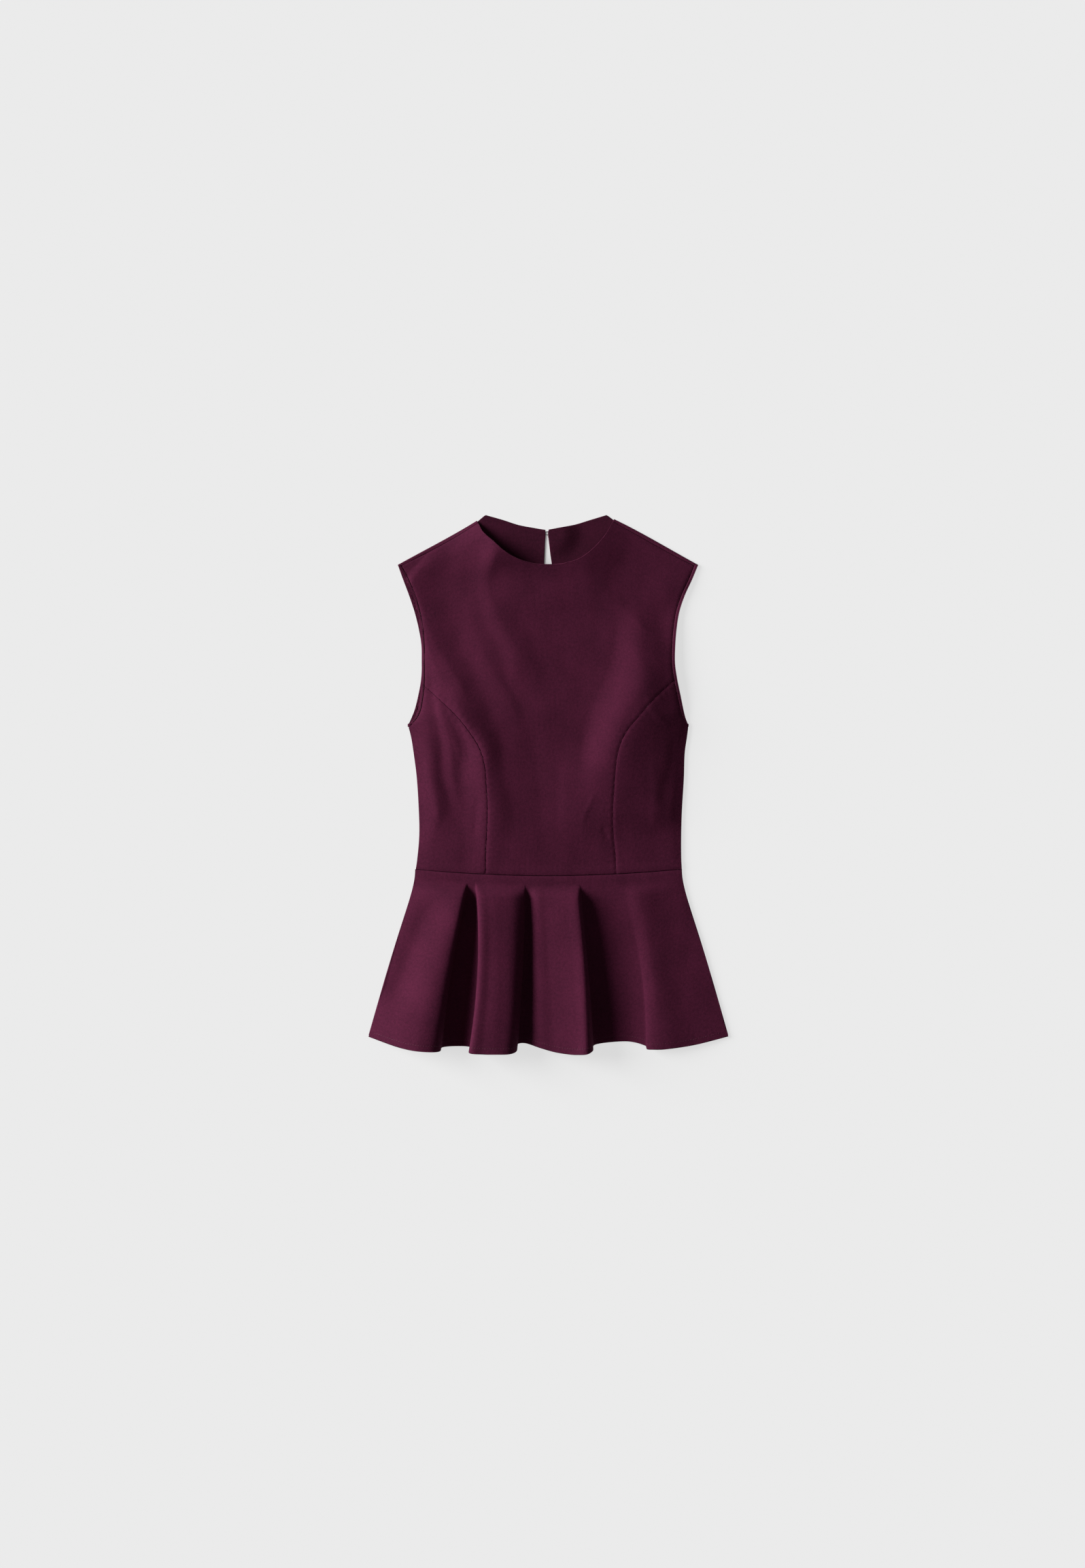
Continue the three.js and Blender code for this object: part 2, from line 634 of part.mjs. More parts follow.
function back(side) {
  const fold = shoulderFold(side);
  const armhole = panelArmhole(side, false);
  const neck = tableCurve([...BACK_NECK].reverse(), side);
  const foldLine = [];
  for (let i = 0; i < STEPS.shoulder; i += 1) {
    foldLine.push(shoulderPoint(side, (i / STEPS.shoulder) * shoulderShare(side), FOLD_INSET));
  }
  foldLine.push(armhole[0]);
  const neckEdge = pointsAlong(neck, 0, 1, STEPS.backNeck);
  const top = [...neckEdge, ...foldLine];
  const lower = sideSeam(side, armhole[armhole.length - 1].y, WAIST.sides + SEAM_GAP / 2);
  const outer = joined(armhole, lower).reverse();
  const slit = pointsAlong(tableCurve(SLIT, side), 0, 1, STEPS.slit);
  const seamTop = slit[STEPS.slit];
  const seamFoot = plan(seamTop.x, waistHeight(0) + SEAM_GAP / 2);
  const seamSteps = outer.length - 1 - STEPS.slit;
  const seam = pointsAlong(new THREE.LineCurve3(seamTop, seamFoot), 0, 1, seamSteps);
  const inner = joined(slit, seam).reverse();
  inner[inner.length - 1] = top[0].clone();
  const bottom = waistEdge(seamFoot.x, outer[0].x, top.length - 1);
  outer[0].copy(bottom[bottom.length - 1]);
  const rows = filled(bottom, top, inner, outer).map((row) => row.map(onBack));
  const neckColumns = STEPS.backNeck + 1;
  const foldRow = rows[rows.length - 1].map((point, c) => (c < neckColumns ? null : point));
  const turned = foldRows(foldRow, fold.inward.clone().negate());
  const strip = shoulderSeam(side, -SEAM_GAP / 2).map(onFront);
  const stripRow = [...new Array(neckColumns).fill(null), ...strip];
  return wallOf(sheetOf([...rows, ...turned, stripRow]));
}

// A band round one armhole, folded over at the shoulder tip and at the underarm
function armholeBinding(side) {
  const across = ({ point, into }) => [point, point.clone().addScaledVector(into, BINDING_WIDTH)];
  const frontLeg = armholeEdge(side, true).map((section) => across(section).map(onFront));
  const backLeg = armholeEdge(side, false).map((section) => across(section).map(onBack));
  const shoulder = foldRows(backLeg[0], shoulderFold(side).inward.clone().negate()).slice(0, -1);
  const underarm = foldRows(backLeg[backLeg.length - 1], plan(side.sign, 0)).slice(0, -1);
  const rows = [...backLeg, ...underarm, ...frontLeg.reverse(), ...shoulder.reverse()];
  return wallOf(sheetOf(rows, true));
}

// Peplum

function peplumStation(position) {
  const last = PEPLUM.length - 1;
  const i = Math.min(Math.floor(position), last - 1);
  const t = position - i;
  const rows = [i - 1, i, i + 1, i + 2].map((k) => PEPLUM[Math.min(Math.max(k, 0), last)]);
  const mix = (column) => {
    const [a, b, c, d] = rows.map((row) => row[column]);
    const curve = 2 * b + (c - a) * t + (2 * a - 5 * b + 4 * c - d) * t * t;
    return (curve + (3 * b - a - 3 * c + d) * t * t * t) / 2;
  };
  const lift = Math.max(mix("lift"), 0);
  return { waist: mix("waist"), x: mix("x"), y: mix("y"), lift, bend: mix("bend") };
}

function flare(down) {
  const reach = down / FLARE_DELAY.at;
  return down - FLARE_DELAY.amount * reach * Math.exp(1 - reach);
}

// A point of the peplum on the line from the seam to the hem
function downPeplum(atSeam, atHem, down, bend = 0) {
  const x = blend(atSeam.x, atHem.x, flare(down)) + bend * 4 * down * (1 - down);
  return plan(x, blend(atSeam.y, atHem.y, down));
}

function peplumFront() {
  const across = (PEPLUM.length - 1) * STEPS.flute;
  const rows = [];
  for (let r = 0; r <= STEPS.peplumDown; r += 1) {
    const down = r / STEPS.peplumDown;
    const begun = Math.max(down - FLUTES_START, 0);
    const grown = (begun / (1 - FLUTES_START)) ** FLUTE_GROWTH * smooth(begun / FLUTES_SOFTEN);
    rows.push([]);
    for (let c = 0; c <= across; c += 1) {
      const station = peplumStation(c / STEPS.flute);
      const atSeam = plan(station.waist, waistHeight(station.waist) - SEAM_GAP / 2);
      const point = downPeplum(atSeam, station, down, station.bend);
      const bodyLift = frontRelief(atSeam.x, atSeam.y) * (1 - smooth(down / BODY_LIFT_FADES));
      const fluteLift = station.lift * grown - troughDepth(point.x, point.y, FLUTE_TROUGH);
      point.z = FRONT_Z + bodyLift + Math.max(fluteLift, 0);
      rows[r].push(point);
    }
  }
  return wallOf(sheetOf(rows));
}

function peplumBack() {
  const rows = [];
  const [first, last] = [PEPLUM[0], PEPLUM[PEPLUM.length - 1]];
  for (let r = 0; r <= STEPS.backPeplumDown; r += 1) {
    const down = r / STEPS.backPeplumDown;
    rows.push([]);
    for (let c = 0; c <= STEPS.backPeplumAcross; c += 1) {
      const across = c / STEPS.backPeplumAcross;
      const seamX = blend(first.waist, last.waist, across);
      const hemX = blend(first.x, last.x, across);
      const hemY = blend(BACK_HEM.middle, BACK_HEM.sides, (2 * across - 1) ** 2);
      const atSeam = plan(seamX, waistHeight(seamX) - SEAM_GAP / 2);
      rows[r].push(onBack(downPeplum(atSeam, plan(hemX, hemY), down)));
    }
  }
  return wallOf(sheetOf(rows));
}

// Closure

function neckButton() {
  const { radius, thickness, edge } = BUTTON;
  const profile = [
    [0, 0],
    [radius - edge, 0],
    [radius, edge],
    [radius, thickness - edge],
    [radius - edge, thickness],
    [SHANK.radius, thickness],
    [SHANK.radius, thickness + SHANK.height],
    [0, thickness + SHANK.height],
  ];
  const outline = profile.map(([x, y]) => new THREE.Vector2(x, y));
  const geometry = new THREE.LatheGeometry(outline, STEPS.roundButton);
  return geometry.rotateX(Math.PI / 2).translate(BUTTON.x, BUTTON.y, 0);
}

// Two strands from the edge of the slit, round the button's shank
function neckLoop() {
  const reach = SHANK.radius + LAYER_GAP + LOOP.radius;
  const rootX = SEAM_GAP - readColumn(SLIT, "right", BUTTON.y);
  const strand = [
    new THREE.Vector3(rootX, reach, LOOP.rootZ),
    new THREE.Vector3(rootX + LOOP.bend, reach, blend(LOOP.rootZ, LOOP.z, 0.5)),
    new THREE.Vector3(BUTTON.x - BUTTON.radius, reach, LOOP.z),
  ];
  const path = [...strand];
  for (let i = 0; i <= STEPS.loopTurn; i += 1) {
    const angle = Math.PI / 2 - (i / STEPS.loopTurn) * Math.PI;
    path.push(new THREE.Vector3(BUTTON.x + reach * Math.cos(angle), reach * Math.sin(angle), LOOP.z));
  }
  for (const point of strand.reverse()) path.push(new THREE.Vector3(point.x, -point.y, point.z));
  const section = new THREE.Shape().absarc(0, 0, LOOP.radius, 0, 2 * Math.PI);
  const geometry = new THREE.ExtrudeGeometry(section, {
    steps: STEPS.loopLength,
    curveSegments: STEPS.roundLoop,
    extrudePath: curveThrough(path),
  });
  return geometry.translate(0, BUTTON.y, 0);
}

// Materials

const CLOTH_FINISH = { color: 0x4a1d33, roughness: 0.82, metalness: 0 };
const TRIM_FINISH = { color: 0x2c101e, roughness: 0.5, metalness: 0 };

function piece(name, geometry, finish) {
  const mesh = new THREE.Mesh(geometry, new THREE.MeshStandardMaterial(finish));
  mesh.name = name;
  return mesh;
}

const top = new THREE.Group();
top.add(piece("front_centre", frontCentre(), CLOTH_FINISH));
for (const side of [LEFT, RIGHT]) {
  top.add(piece(`front_side_${side.name}`, frontSide(side), CLOTH_FINISH));
  top.add(piece(`back_${side.name}`, back(side), CLOTH_FINISH));
  top.add(piece(`armhole_binding_${side.name}`, armholeBinding(side), CLOTH_FINISH));
}
top.add(piece("peplum_front", peplumFront(), CLOTH_FINISH));
top.add(piece("peplum_back", peplumBack(), CLOTH_FINISH));
top.add(piece("neck_button", neckButton(), TRIM_FINISH));
top.add(piece("neck_loop", neckLoop(), TRIM_FINISH));

// The part's origin is under the middle of its bounding box
const box = new THREE.Box3().setFromObject(top);
const middle = box.getCenter(new THREE.Vector3());
top.position.set(-middle.x, -middle.y, -box.min.z);

const group = new THREE.Group();
group.add(top);

export default group;
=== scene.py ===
import math
import bpy
import numpy as np
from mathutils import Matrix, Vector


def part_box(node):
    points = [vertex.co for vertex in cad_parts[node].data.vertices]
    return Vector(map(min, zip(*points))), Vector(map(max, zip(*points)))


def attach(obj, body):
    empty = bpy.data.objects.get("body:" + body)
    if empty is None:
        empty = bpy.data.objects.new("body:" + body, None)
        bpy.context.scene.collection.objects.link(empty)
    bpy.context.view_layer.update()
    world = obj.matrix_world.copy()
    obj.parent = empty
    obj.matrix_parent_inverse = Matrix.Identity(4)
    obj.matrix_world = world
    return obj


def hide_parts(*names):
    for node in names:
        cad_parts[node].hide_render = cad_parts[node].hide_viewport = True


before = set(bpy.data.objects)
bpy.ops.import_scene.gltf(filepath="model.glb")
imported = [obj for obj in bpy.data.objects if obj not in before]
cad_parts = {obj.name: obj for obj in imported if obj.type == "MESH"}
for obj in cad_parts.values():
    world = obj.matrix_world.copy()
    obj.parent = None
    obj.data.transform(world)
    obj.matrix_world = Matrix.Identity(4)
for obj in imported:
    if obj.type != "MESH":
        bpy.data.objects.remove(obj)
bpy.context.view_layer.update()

# A sleeveless peplum top, laid flat with its front up. Lengths are in millimetres until a mesh is made.
# +X is the wearer's left, +Y runs to the neck and +Z goes up from the floor.
MM = 0.001

# Thickness of the cloth, and the gaps at sewn seams and between layers that lie on each other
CLOTH = 1.2
SEAM_GAP = 0.06
LAYER_GAP = 0.3
# Heights of the middle of the cloth, and the fold from the back to the front
BACK_Z = CLOTH / 2
FRONT_Z = BACK_Z + CLOTH + LAYER_GAP
FOLD_RADIUS = (FRONT_Z - BACK_Z) / 2
FOLD_INSET = FOLD_RADIUS + CLOTH / 2
FOLD_STEPS = 8
BINDING_WIDTH = 3.8
LEFT, RIGHT = 1, -1
NAME = {LEFT: "left", RIGHT: "right"}
# Where the tables keep each side
COLUMN = {LEFT: 1, RIGHT: 2}

# Distances from the centre line: height, wearer's left, wearer's right
SIDE_SEAM = [
    (76, 172.3, 172.6), (60, 170.2, 168.4), (40, 167.4, 165.2), (10, 166.4, 161.4),
    (-30, 164.0, 158.9), (-60, 163.1, 158.3), (-90, 163.2, 160.8), (-110, 164.3, 163.8),
]
# Height, left, right, and how far the front of the right armhole lies tucked inside the back
ARMHOLE = [
    (271, 184.1, 184.9, 0), (253, 176.5, 178.2, 3), (233, 167.3, 170.7, 4), (213, 160.7, 164.1, 3.5),
    (193, 157.4, 159.1, 2), (173, 155.7, 155.8, 0.5), (150, 155.3, 155.2, 0), (130, 158.0, 156.2, 1),
    (110, 162.2, 159.8, 3), (93, 165.7, 164.1, 4.2), (84, 168.0, 167.6, 3.2), (79, 169.8, 169.8, 1.6),
    (76, 172.3, 172.6, 0),
]
# The fold over each shoulder: its neck end, its tip and how far it bows up
SHOULDER = {
    LEFT: ((80.8, 327.2), (184.1, 271), 0.9),
    RIGHT: ((87.6, 325.3), (184.9, 271), -0.8),
}
# The bow follows share * (1 - share) ** 2, which peaks at 4 / 27
BOW_SCALE = 27 / 4
# How far the shoulder seam lies in from the fold
SEAM_AT_NECK, SEAM_AT_MIDDLE, SEAM_AT_TIP = 3.6, 4.8, 3.2
# Shares of the armhole over which the directions into the cloth turn to lie along its ends
TURNS_AT_TOP, TURNS_AT_FOOT = 0.06, 0.1
# The edges of the neck, the slit and the princess seams, in the columns of the side seams
BACK_NECK = [
    (332.3, 71.8, 77.3), (326.1, 51.4, 55.5), (320.0, 31.3, 36.5), (316.0, 11.3, 15.4), (314.0, 0.6, 3.6),
]
FRONT_NECK = [
    (311.0, 72.2, 80.0), (299.0, 63.0, 67.2), (286.5, 50.5, 53.5), (277.5, 37.0, 37.5), (272.3, 20.0, 20.5),
]
FRONT_NECK_LOWEST = 270.6
SLIT = [
    (314.0, 0.6, 3.6), (309.8, -0.4, 3.2), (300, 0.6, 3.8), (285, 2.4, 4.4), (271, 4.3, 4.8),
    (250, 4.6, 4.6), (220, 2.6, 2.6), (194, 0.15, 0.15),
]
PRINCESS_TOP = {LEFT: 129, RIGHT: 122}
PRINCESS = [
    (106, 129.2, 133.8), (84, 110.2, 110.9), (66, 95.5, 96.5), (46, 86.4, 84.0), (25, 82.6, 77.6),
    (0, 80.7, 75.5), (-30, 79.0, 74.2), (-60, 79.8, 75.2), (-85, 82.3, 76.3),
]
PRINCESS_WAIST = {LEFT: 83.3, RIGHT: 76.7}
WAIST_MIDDLE, WAIST_SIDES, WAIST_HALF = -110.3, -102.5, 163.7

# Lines that run down the front, from its wearer's right to left: where they pass each height
FORM_AT = [
    (330, -147, -146, -145, -143, -138, -120, -100, -85, -60, 0, 50, 100, 138),
    (290, -147, -146, -145, -143, -138, -120, -100, -85, -60, 0, 50, 100, 138),
    (250, -176, -175, -173.5, -171.5, -166, -133, -103, -92, -72, -15, 40, 95, 165),
    (210, -162, -161, -159.5, -157, -151, -121, -92, -82, -61, -24, 78, 102, 147),
    (170, -153.5, -152, -150, -147, -134, -109, -79, -65, -42, -13, 78, 110, 145),
    (130, -150, -145, -139, -130, -114, -88, -61, -50, -34, 10, 66, 113, 146),
    (90, -151, -139, -130, -124, -106, -66, -44, -28, 0, 25, 48, 97, 152),
    (50, -143, -133, -118, -109, -79, -55, -34, -18, 8, 22, 39, 81, 155),
    (10, -139, -129, -115, -109, -73, -52, -32, -10, 10, 25, 38, 70, 153),
    (-30, -132, -117, -109, -101, -66, -40, -25, -8, 8, 22, 38, 62, 150),
    (-70, -140, -112, -104, -96, -66, -38, -22, -6, 8, 22, 38, 60, 150),
    (-110, -140, -112, -104, -96, -66, -38, -22, -6, 8, 22, 38, 60, 150),
]
# How high the front stands on each of them
FORM_LIFT = [
    (330, 0.5, 0.8, 1.2, 1.8, 2.6, 4.4, 6.4, 8.4, 10, 9, 8, 3, 1),
    (290, 0.5, 0.8, 1.2, 1.8, 2.4, 4.4, 8.4, 12.4, 20.5, 17, 13, 4.4, 1.8),
    (250, 0.6, 0.9, 1.3, 1.9, 3.2, 1.5, 3.1, 4.3, 8.1, 10, 10, 4.4, 2.4),
    (210, 1, 1.4, 1.9, 2.7, 3.8, 2.5, 4.8, 5.8, 9.3, 7.4, 4.8, 5.4, 2),
    (170, 2, 2.7, 3.6, 4.8, 6.1, 4.6, 8.4, 8.5, 11.4, 8.8, 5.8, 10.4, 5.4),
    (130, 2.7, 4.4, 7, 10, 12, 9.6, 12, 11.4, 11.8, 9.4, 7.4, 15.3, 8.3),
    (90, 6.5, 9.6, 14.4, 15.4, 20.5, 14.6, 15, 13.8, 13.2, 11.8, 11, 20, 7),
    (50, 7.8, 7.5, 11.2, 11.2, 20.5, 15.4, 14.2, 13, 12, 11.3, 11, 19.5, 3.6),
    (10, 8, 7, 9.4, 9.4, 18.7, 15.8, 14.6, 13.4, 13.6, 14.6, 15.2, 18.2, 3.2),
    (-30, 8, 6.8, 7.2, 8, 16.6, 14, 13.2, 12.4, 12.8, 14, 14.8, 15, 3),
    (-70, 5, 7, 7.2, 8, 12.4, 12, 11.5, 11, 10.6, 10.4, 9.9, 9, 2.2),
    (-110, 3, 4.6, 5, 5.4, 7, 7.2, 7.2, 7.1, 7, 6.8, 6.4, 5.7, 1.2),
]
# The least distance between two of the lines
LEAST_SPACING = 0.1
# How high the front's edge stands at the left armhole
EDGE_LIFT = [(271, 0), (250, 1), (210, 2), (170, 4.5), (130, 5), (100, 3), (84, 0.6), (76, 0)]
# How far in from the shoulder folds the front reaches its height, and how round it rises
SHOULDER_RISE, SHOULDER_ROUND = 22, 2

# The flared peplum: where each line leaves the waist, its x and y at the hem, how high it stands there
# and how far it bends sideways half way down
PEPLUM = [
    (-163.4, -220.6, -308, 0, 0), (-137, -190, -317.2, 16.5, 0), (-118, -172, -321.4, 24, 0),
    (-105, -157, -323.4, 27, 0), (-101, -141, -324.4, 25, 0), (-99, -132.5, -324, 17, -2),
    (-97.5, -130, -320.6, 4, -2), (-95, -113, -319.4, 0.5, 2), (-91, -95.5, -320.4, 4, 6.5),
    (-88, -96, -325.4, 26, 7.5), (-74, -80, -326.8, 27.5, 6), (-60, -62, -327, 27.5, 3),
    (-42, -47, -326.8, 24.5, 3), (-31, -39, -324.2, 14, 3), (-28, -38.3, -317.2, 3, 2),
    (-24, -28, -315.9, 1, 1), (-14, -10, -320.6, 12, 0), (-4, 8, -325.4, 15, 0),
    (10, 26, -327.8, 19, 0), (20, 36, -328, 22, 2), (33, 47, -327, 25.5, 3),
    (37, 54, -323.6, 18, 2), (42, 58.5, -317, 3, 1), (66, 96, -313.6, 0.8, 4),
    (86, 118.6, -318.4, 4, 8), (92, 120.5, -322.6, 5.5, 8), (101, 128.5, -323, 8.4, 7),
    (112, 145, -322.4, 8.8, 3), (134, 180, -317.6, 4.2, 0), (164, 221, -307.6, 0, 0),
]
# A shallow trough down the right flute
FLUTE_TROUGH = ([(-134, -125), (-143, -150), (-164, -200), (-183, -250), (-192, -280)], -5, 16, 22)
# Shares of the peplum's length: where flutes start, how softly, and where the height of the body has faded
FLUTES_START, FLUTES_SOFTEN, BODY_LIFT_FADES = 0.05, 0.07, 0.5
FLUTE_GROWTH = 0.3
# The flare starts late, most of all at this share of the length
FLARE_DELAY, FLARE_DELAY_AT = 0.06, 0.15
PEPLUM_LENGTH = 212
BACK_HEM_MIDDLE, BACK_HEM_SIDES = -313, -306
BUTTON = (8.5, 309.8)
BUTTON_RADIUS = 4.5
# The back's lift over the button, and how far it stays flat and reaches
BUTTON_LIFT, BUTTON_FLAT, BUTTON_REACH = 4, 10, 34

# How deep a seam sinks, how far that reaches, and the share of it that is left where the front lies flat
DITCH, DITCH_WIDTH, DITCH_ROOM = 0.5, 2.0, 0.5
# Puckers along the princess seams, and a second wave in them: its share, its length and its phase
PUCKER, PUCKER_REACH, PUCKER_LENGTH = 0.26, 6.0, 9.0
SECOND_PUCKER, SECOND_LENGTH, SECOND_PHASE = 0.6, 5.3, 1.1
# Seam allowances pressed up above the waist: their thickness, width, and how softly they end
ALLOWANCE, ALLOWANCE_WIDTH, ALLOWANCE_END = 0.4, 8.0, 3.0
# Height of the broad and the fine unevenness, and the height of the form from which details show in full
UNEVEN_BROAD, UNEVEN_FINE, DETAIL_FROM = 0.13, 0.05, 3
# Share of a crease or trough over which each of its ends fades
FOLD_ENDS = 0.2
# Small creases of the front: the path down, the height, and the half width to its wearer's right and left
CREASES = [
    ([(143, 108), (140, 60), (139, 0), (140, -62)], 2.5, 42, 22),
    ([(56, -8), (50, -24), (44, -34), (40, -48)], 0.4, 3, 4),
    ([(65, -50), (70, -58), (73, -66)], -0.5, 3.5, 3),
    ([(156, 62), (152, 30), (143, 0), (138, -28)], -0.6, 6, 9),
    ([(128, 40), (131, 5), (130, -30), (127, -60)], 0.5, 6, 8),
    ([(-86, -12), (-88, -40), (-90, -66)], -0.5, 4, 4),
    ([(-128, 92), (-120, 76), (-112, 52), (-106, 26)], 0.5, 4, 5),
    ([(-118, 96), (-108, 74), (-99, 48), (-95, 24)], -0.5, 3, 4),
    ([(-150, 40), (-146, 10), (-138, -20), (-132, -48)], 0.6, 4, 5),
    ([(118, 112), (128, 92), (140, 78), (152, 70)], 0.5, 4, 4),
    ([(60, 236), (84, 224), (108, 205), (124, 182)], 0.5, 6, 7),
    ([(-150, 180), (-132, 160), (-112, 132), (-98, 104)], 0.4, 5, 5),
]
# Stitches: the distance from the edge, the length and the pitch
HEM_STITCHES_AT, HEM_STITCH, HEM_PITCH = 7.0, 2.4, 3.2
BAND_STITCHES_AT, BAND_STITCH, BAND_PITCH = 2.9, 1.7, 2.3
# Thread: its radius, how far it stands out and how far its ends dip, as shares of that,
# and the cloth left free at each end of a row
THREAD, THREAD_OUT, THREAD_DIP, ROW_END = 0.2, 0.35, 1.1, 3
THREAD_SIDES = 6
# Rings of a stitch: where along it, and their share of the radius
STITCH_RINGS = [(-1, 0.3), (-0.8, 0.85), (-0.3, 1), (0.3, 1), (0.8, 0.85), (1, 0.3)]
# Loop of elastic cord round the button's shank: its half width, radius and height there
LOOP_HALF, LOOP_RADIUS, LOOP_Z = 1.85, 0.45, 2.95
# Its root's place and height, and how soon it bends up
LOOP_ROOT, LOOP_ROOT_Z, LOOP_BEND = -2.9, 0.7, 1.5
CORD_RINGS, CORD_SIDES = 121, 16
RIBS, RIB_DEPTH, RIB_TWIST = 3, 0.06, 0.9

# Where the rows lie in the strip of the back on the front's shoulders, and how far it arches,
# and the same of the armhole bands
STRIP_ROWS, STRIP_ARCH = np.array([0.3, 0.6, 0.8, 1.0]), 0.15
BAND_ROWS, BAND_ARCH = np.array([0, 0.12, 0.3, 0.5, 0.7, 0.88, 1]), 0.25
# Steps of the fine grids
FRONT_ACROSS, FRONT_DOWN, SHOULDER_STEP = 2.2, 2.4, 2.6
BACK_ACROSS, BACK_DOWN = 2.4, 3.4
PEPLUM_ACROSS, PEPLUM_DOWN, PEPLUM_BACK_STEP = 2.3, 2.6, 5
# Distances of the finer rows from an edge
EDGE_ROWS = np.array([0.0, 0.45, 0.95, 1.6, 2.5, 3.8])
# Width and length that set the number of rows in a side front and in the back peplum
SIDE_FRONT_SIZE, PEPLUM_BACK_SIZE = (90, 215), (420, 205)
# Points on the lines that the grids are made from
ARMHOLE_POINTS, SEAM_POINTS, SHOULDER_POINTS, EDGE_POINTS = 221, 41, 40, 80
# Points between two of those that a curve passes through
CURVE_POINTS = 24
# A rim: its steps from one face to the other, and how far it is drawn in, as a share of half the wall
RIM_STEPS, RIM_INSET = 4, 0.9

# Light and camera: the sun's tilt and turn in degrees, and the metres of floor that the picture is high
KEY_ENERGY, KEY_SOFTNESS, KEY_TURN = 6.05, 32, (70, 0, -108)
WORLD_STRENGTH = 0.112
FLOOR_SHADE, FLOOR_GLOW = 0.2, 0.676
# The patch of floor under the slit: two corners, shade and glow
SLIT_FLOOR, SLIT_SHADE, SLIT_GLOW = ((-14, 240), (14, 312)), 0.8, 0.2
CAMERA_HEIGHT, PICTURE_HEIGHT, SENSOR = 3.0, 1.925, 36
PICTURE_CENTRE = (-7.1, 2.1)

button_low, button_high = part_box("neck_button")
SHIFT = np.array([
    (button_low[0] + button_high[0]) / 2 / MM - BUTTON[0],
    (button_low[1] + button_high[1]) / 2 / MM - BUTTON[1],
    0,
])


# Numbers, tables and curves

def smooth(t):
    s = np.clip(t, 0, 1)
    return s * s * (3 - 2 * s)


def read_table(rows, column, y):
    """A smooth reading of one column of a falling table at the heights y."""
    table = np.array(rows, float)
    at, value = table[:, 0], table[:, column]
    last = len(rows) - 1
    before, after = np.maximum(np.arange(last + 1) - 1, 0), np.minimum(np.arange(last + 1) + 1, last)
    slope = (value[after] - value[before]) / (at[after] - at[before])
    y = np.asarray(y, float)
    i = np.clip(np.searchsorted(-at, -y, side="right") - 1, 0, last - 1)
    span = at[i + 1] - at[i]
    t = (y - at[i]) / span
    c, h = np.clip(t, 0, 1), smooth(t)
    found = value[i] * (1 - h) + value[i + 1] * h
    found += slope[i] * span * c * (1 - c) ** 2 - slope[i + 1] * span * c * c * (1 - c)
    found += np.where(t < 0, slope[i] * (y - at[i]), 0)
    return found + np.where(t > 1, slope[i + 1] * (y - at[i + 1]), 0)


def curve_through(points):
    """A dense polyline on the centripetal curve through the points."""
    p = np.array(points, float)
    p = np.vstack([2 * p[0] - p[1], p, 2 * p[-1] - p[-2]])
    gap = np.maximum(np.linalg.norm(np.diff(p, axis=0), axis=1) ** 0.5, 1e-6)
    runs = []
    for i in range(1, len(p) - 2):
        a, b, c = gap[i - 1], gap[i], gap[i + 1]
        out = (p[i] - p[i - 1]) / a - (p[i + 1] - p[i - 1]) / (a + b) + (p[i + 1] - p[i]) / b
        into = (p[i + 1] - p[i]) / b - (p[i + 2] - p[i]) / (b + c) + (p[i + 2] - p[i + 1]) / c
        t = np.linspace(0, 1, CURVE_POINTS, endpoint=False)[:, None]
        h = smooth(t)
        runs.append(p[i] * (1 - h) + p[i + 1] * h + b * out * t * (1 - t) ** 2 - b * into * t * t * (1 - t))
    return np.vstack(runs + [p[-2:-1]])


def lengths(line):
    return np.concatenate([[0], np.cumsum(np.linalg.norm(np.diff(line, axis=0), axis=1))])


def at_shares(line, share):
    """Points of a polyline at these shares of its length."""
    run = lengths(line)
    at = np.asarray(share) * run[-1]
    return np.stack([np.interp(at, run, line[:, k]) for k in range(line.shape[1])], 1)


def cut(line, start, end):
    """The stretch of a polyline between two shares of its length."""
    run = lengths(line) / lengths(line)[-1]
    inside = line[(run > start + 1e-6) & (run < end - 1e-6)]
    ends = at_shares(line, [start, end])
    return np.vstack([ends[:1], inside, ends[1:]])


def share_at_height(line, y):
    """The share of a falling polyline's length at which it passes height y."""
    run = lengths(line)
    return np.interp(-y, -line[:, 1], run) / run[-1]


def sideways(line, distance):
    """The polyline moved to the left of its direction."""
    along = np.gradient(line, axis=0)
    along /= np.linalg.norm(along, axis=1)[:, None]
    return line + np.stack([-along[:, 1], along[:, 0]], 1) * distance


def shares(length, step):
    """Shares from 0 to 1 at even steps, with finer ones near both ends."""
    near = EDGE_ROWS / length
    count = max(int(round((length - 2 * EDGE_ROWS[-1]) / step)), 1)
    middle = np.linspace(near[-1], 1 - near[-1], count + 1)
    return np.concatenate([near[:-1], middle, 1 - near[:-1][::-1]])


# The garment's outline in plan

def table_line(rows, side):
    return curve_through([(side * row[COLUMN[side]], row[0]) for row in rows])


def waist_height(x):
    return WAIST_MIDDLE + (WAIST_SIDES - WAIST_MIDDLE) * (np.asarray(x) / WAIST_HALF) ** 2


def shoulder_fold(side):
    neck, tip, bow = SHOULDER[side]
    start, end = np.array([side * neck[0], neck[1]]), np.array([side * tip[0], tip[1]])
    along = (end - start) / np.linalg.norm(end - start)
    return start, end, along, np.array([side * along[1], -side * along[0]]), bow


def shoulder_line(side, share, depth):
    """Points on the shoulder, at shares from the neck to the tip and depths in from the fold."""
    start, end, along, inward, bow = shoulder_fold(side)
    share = np.asarray(share, float)
    depth = depth - BOW_SCALE * bow * share * (1 - share) ** 2
    return start + (end - start) * share[:, None] + inward * depth[:, None]


def seam_depth(share):
    share = np.asarray(share, float)
    straight = SEAM_AT_NECK + (SEAM_AT_TIP - SEAM_AT_NECK) * share
    return straight + (SEAM_AT_MIDDLE - (SEAM_AT_NECK + SEAM_AT_TIP) / 2) * 4 * share * (1 - share)


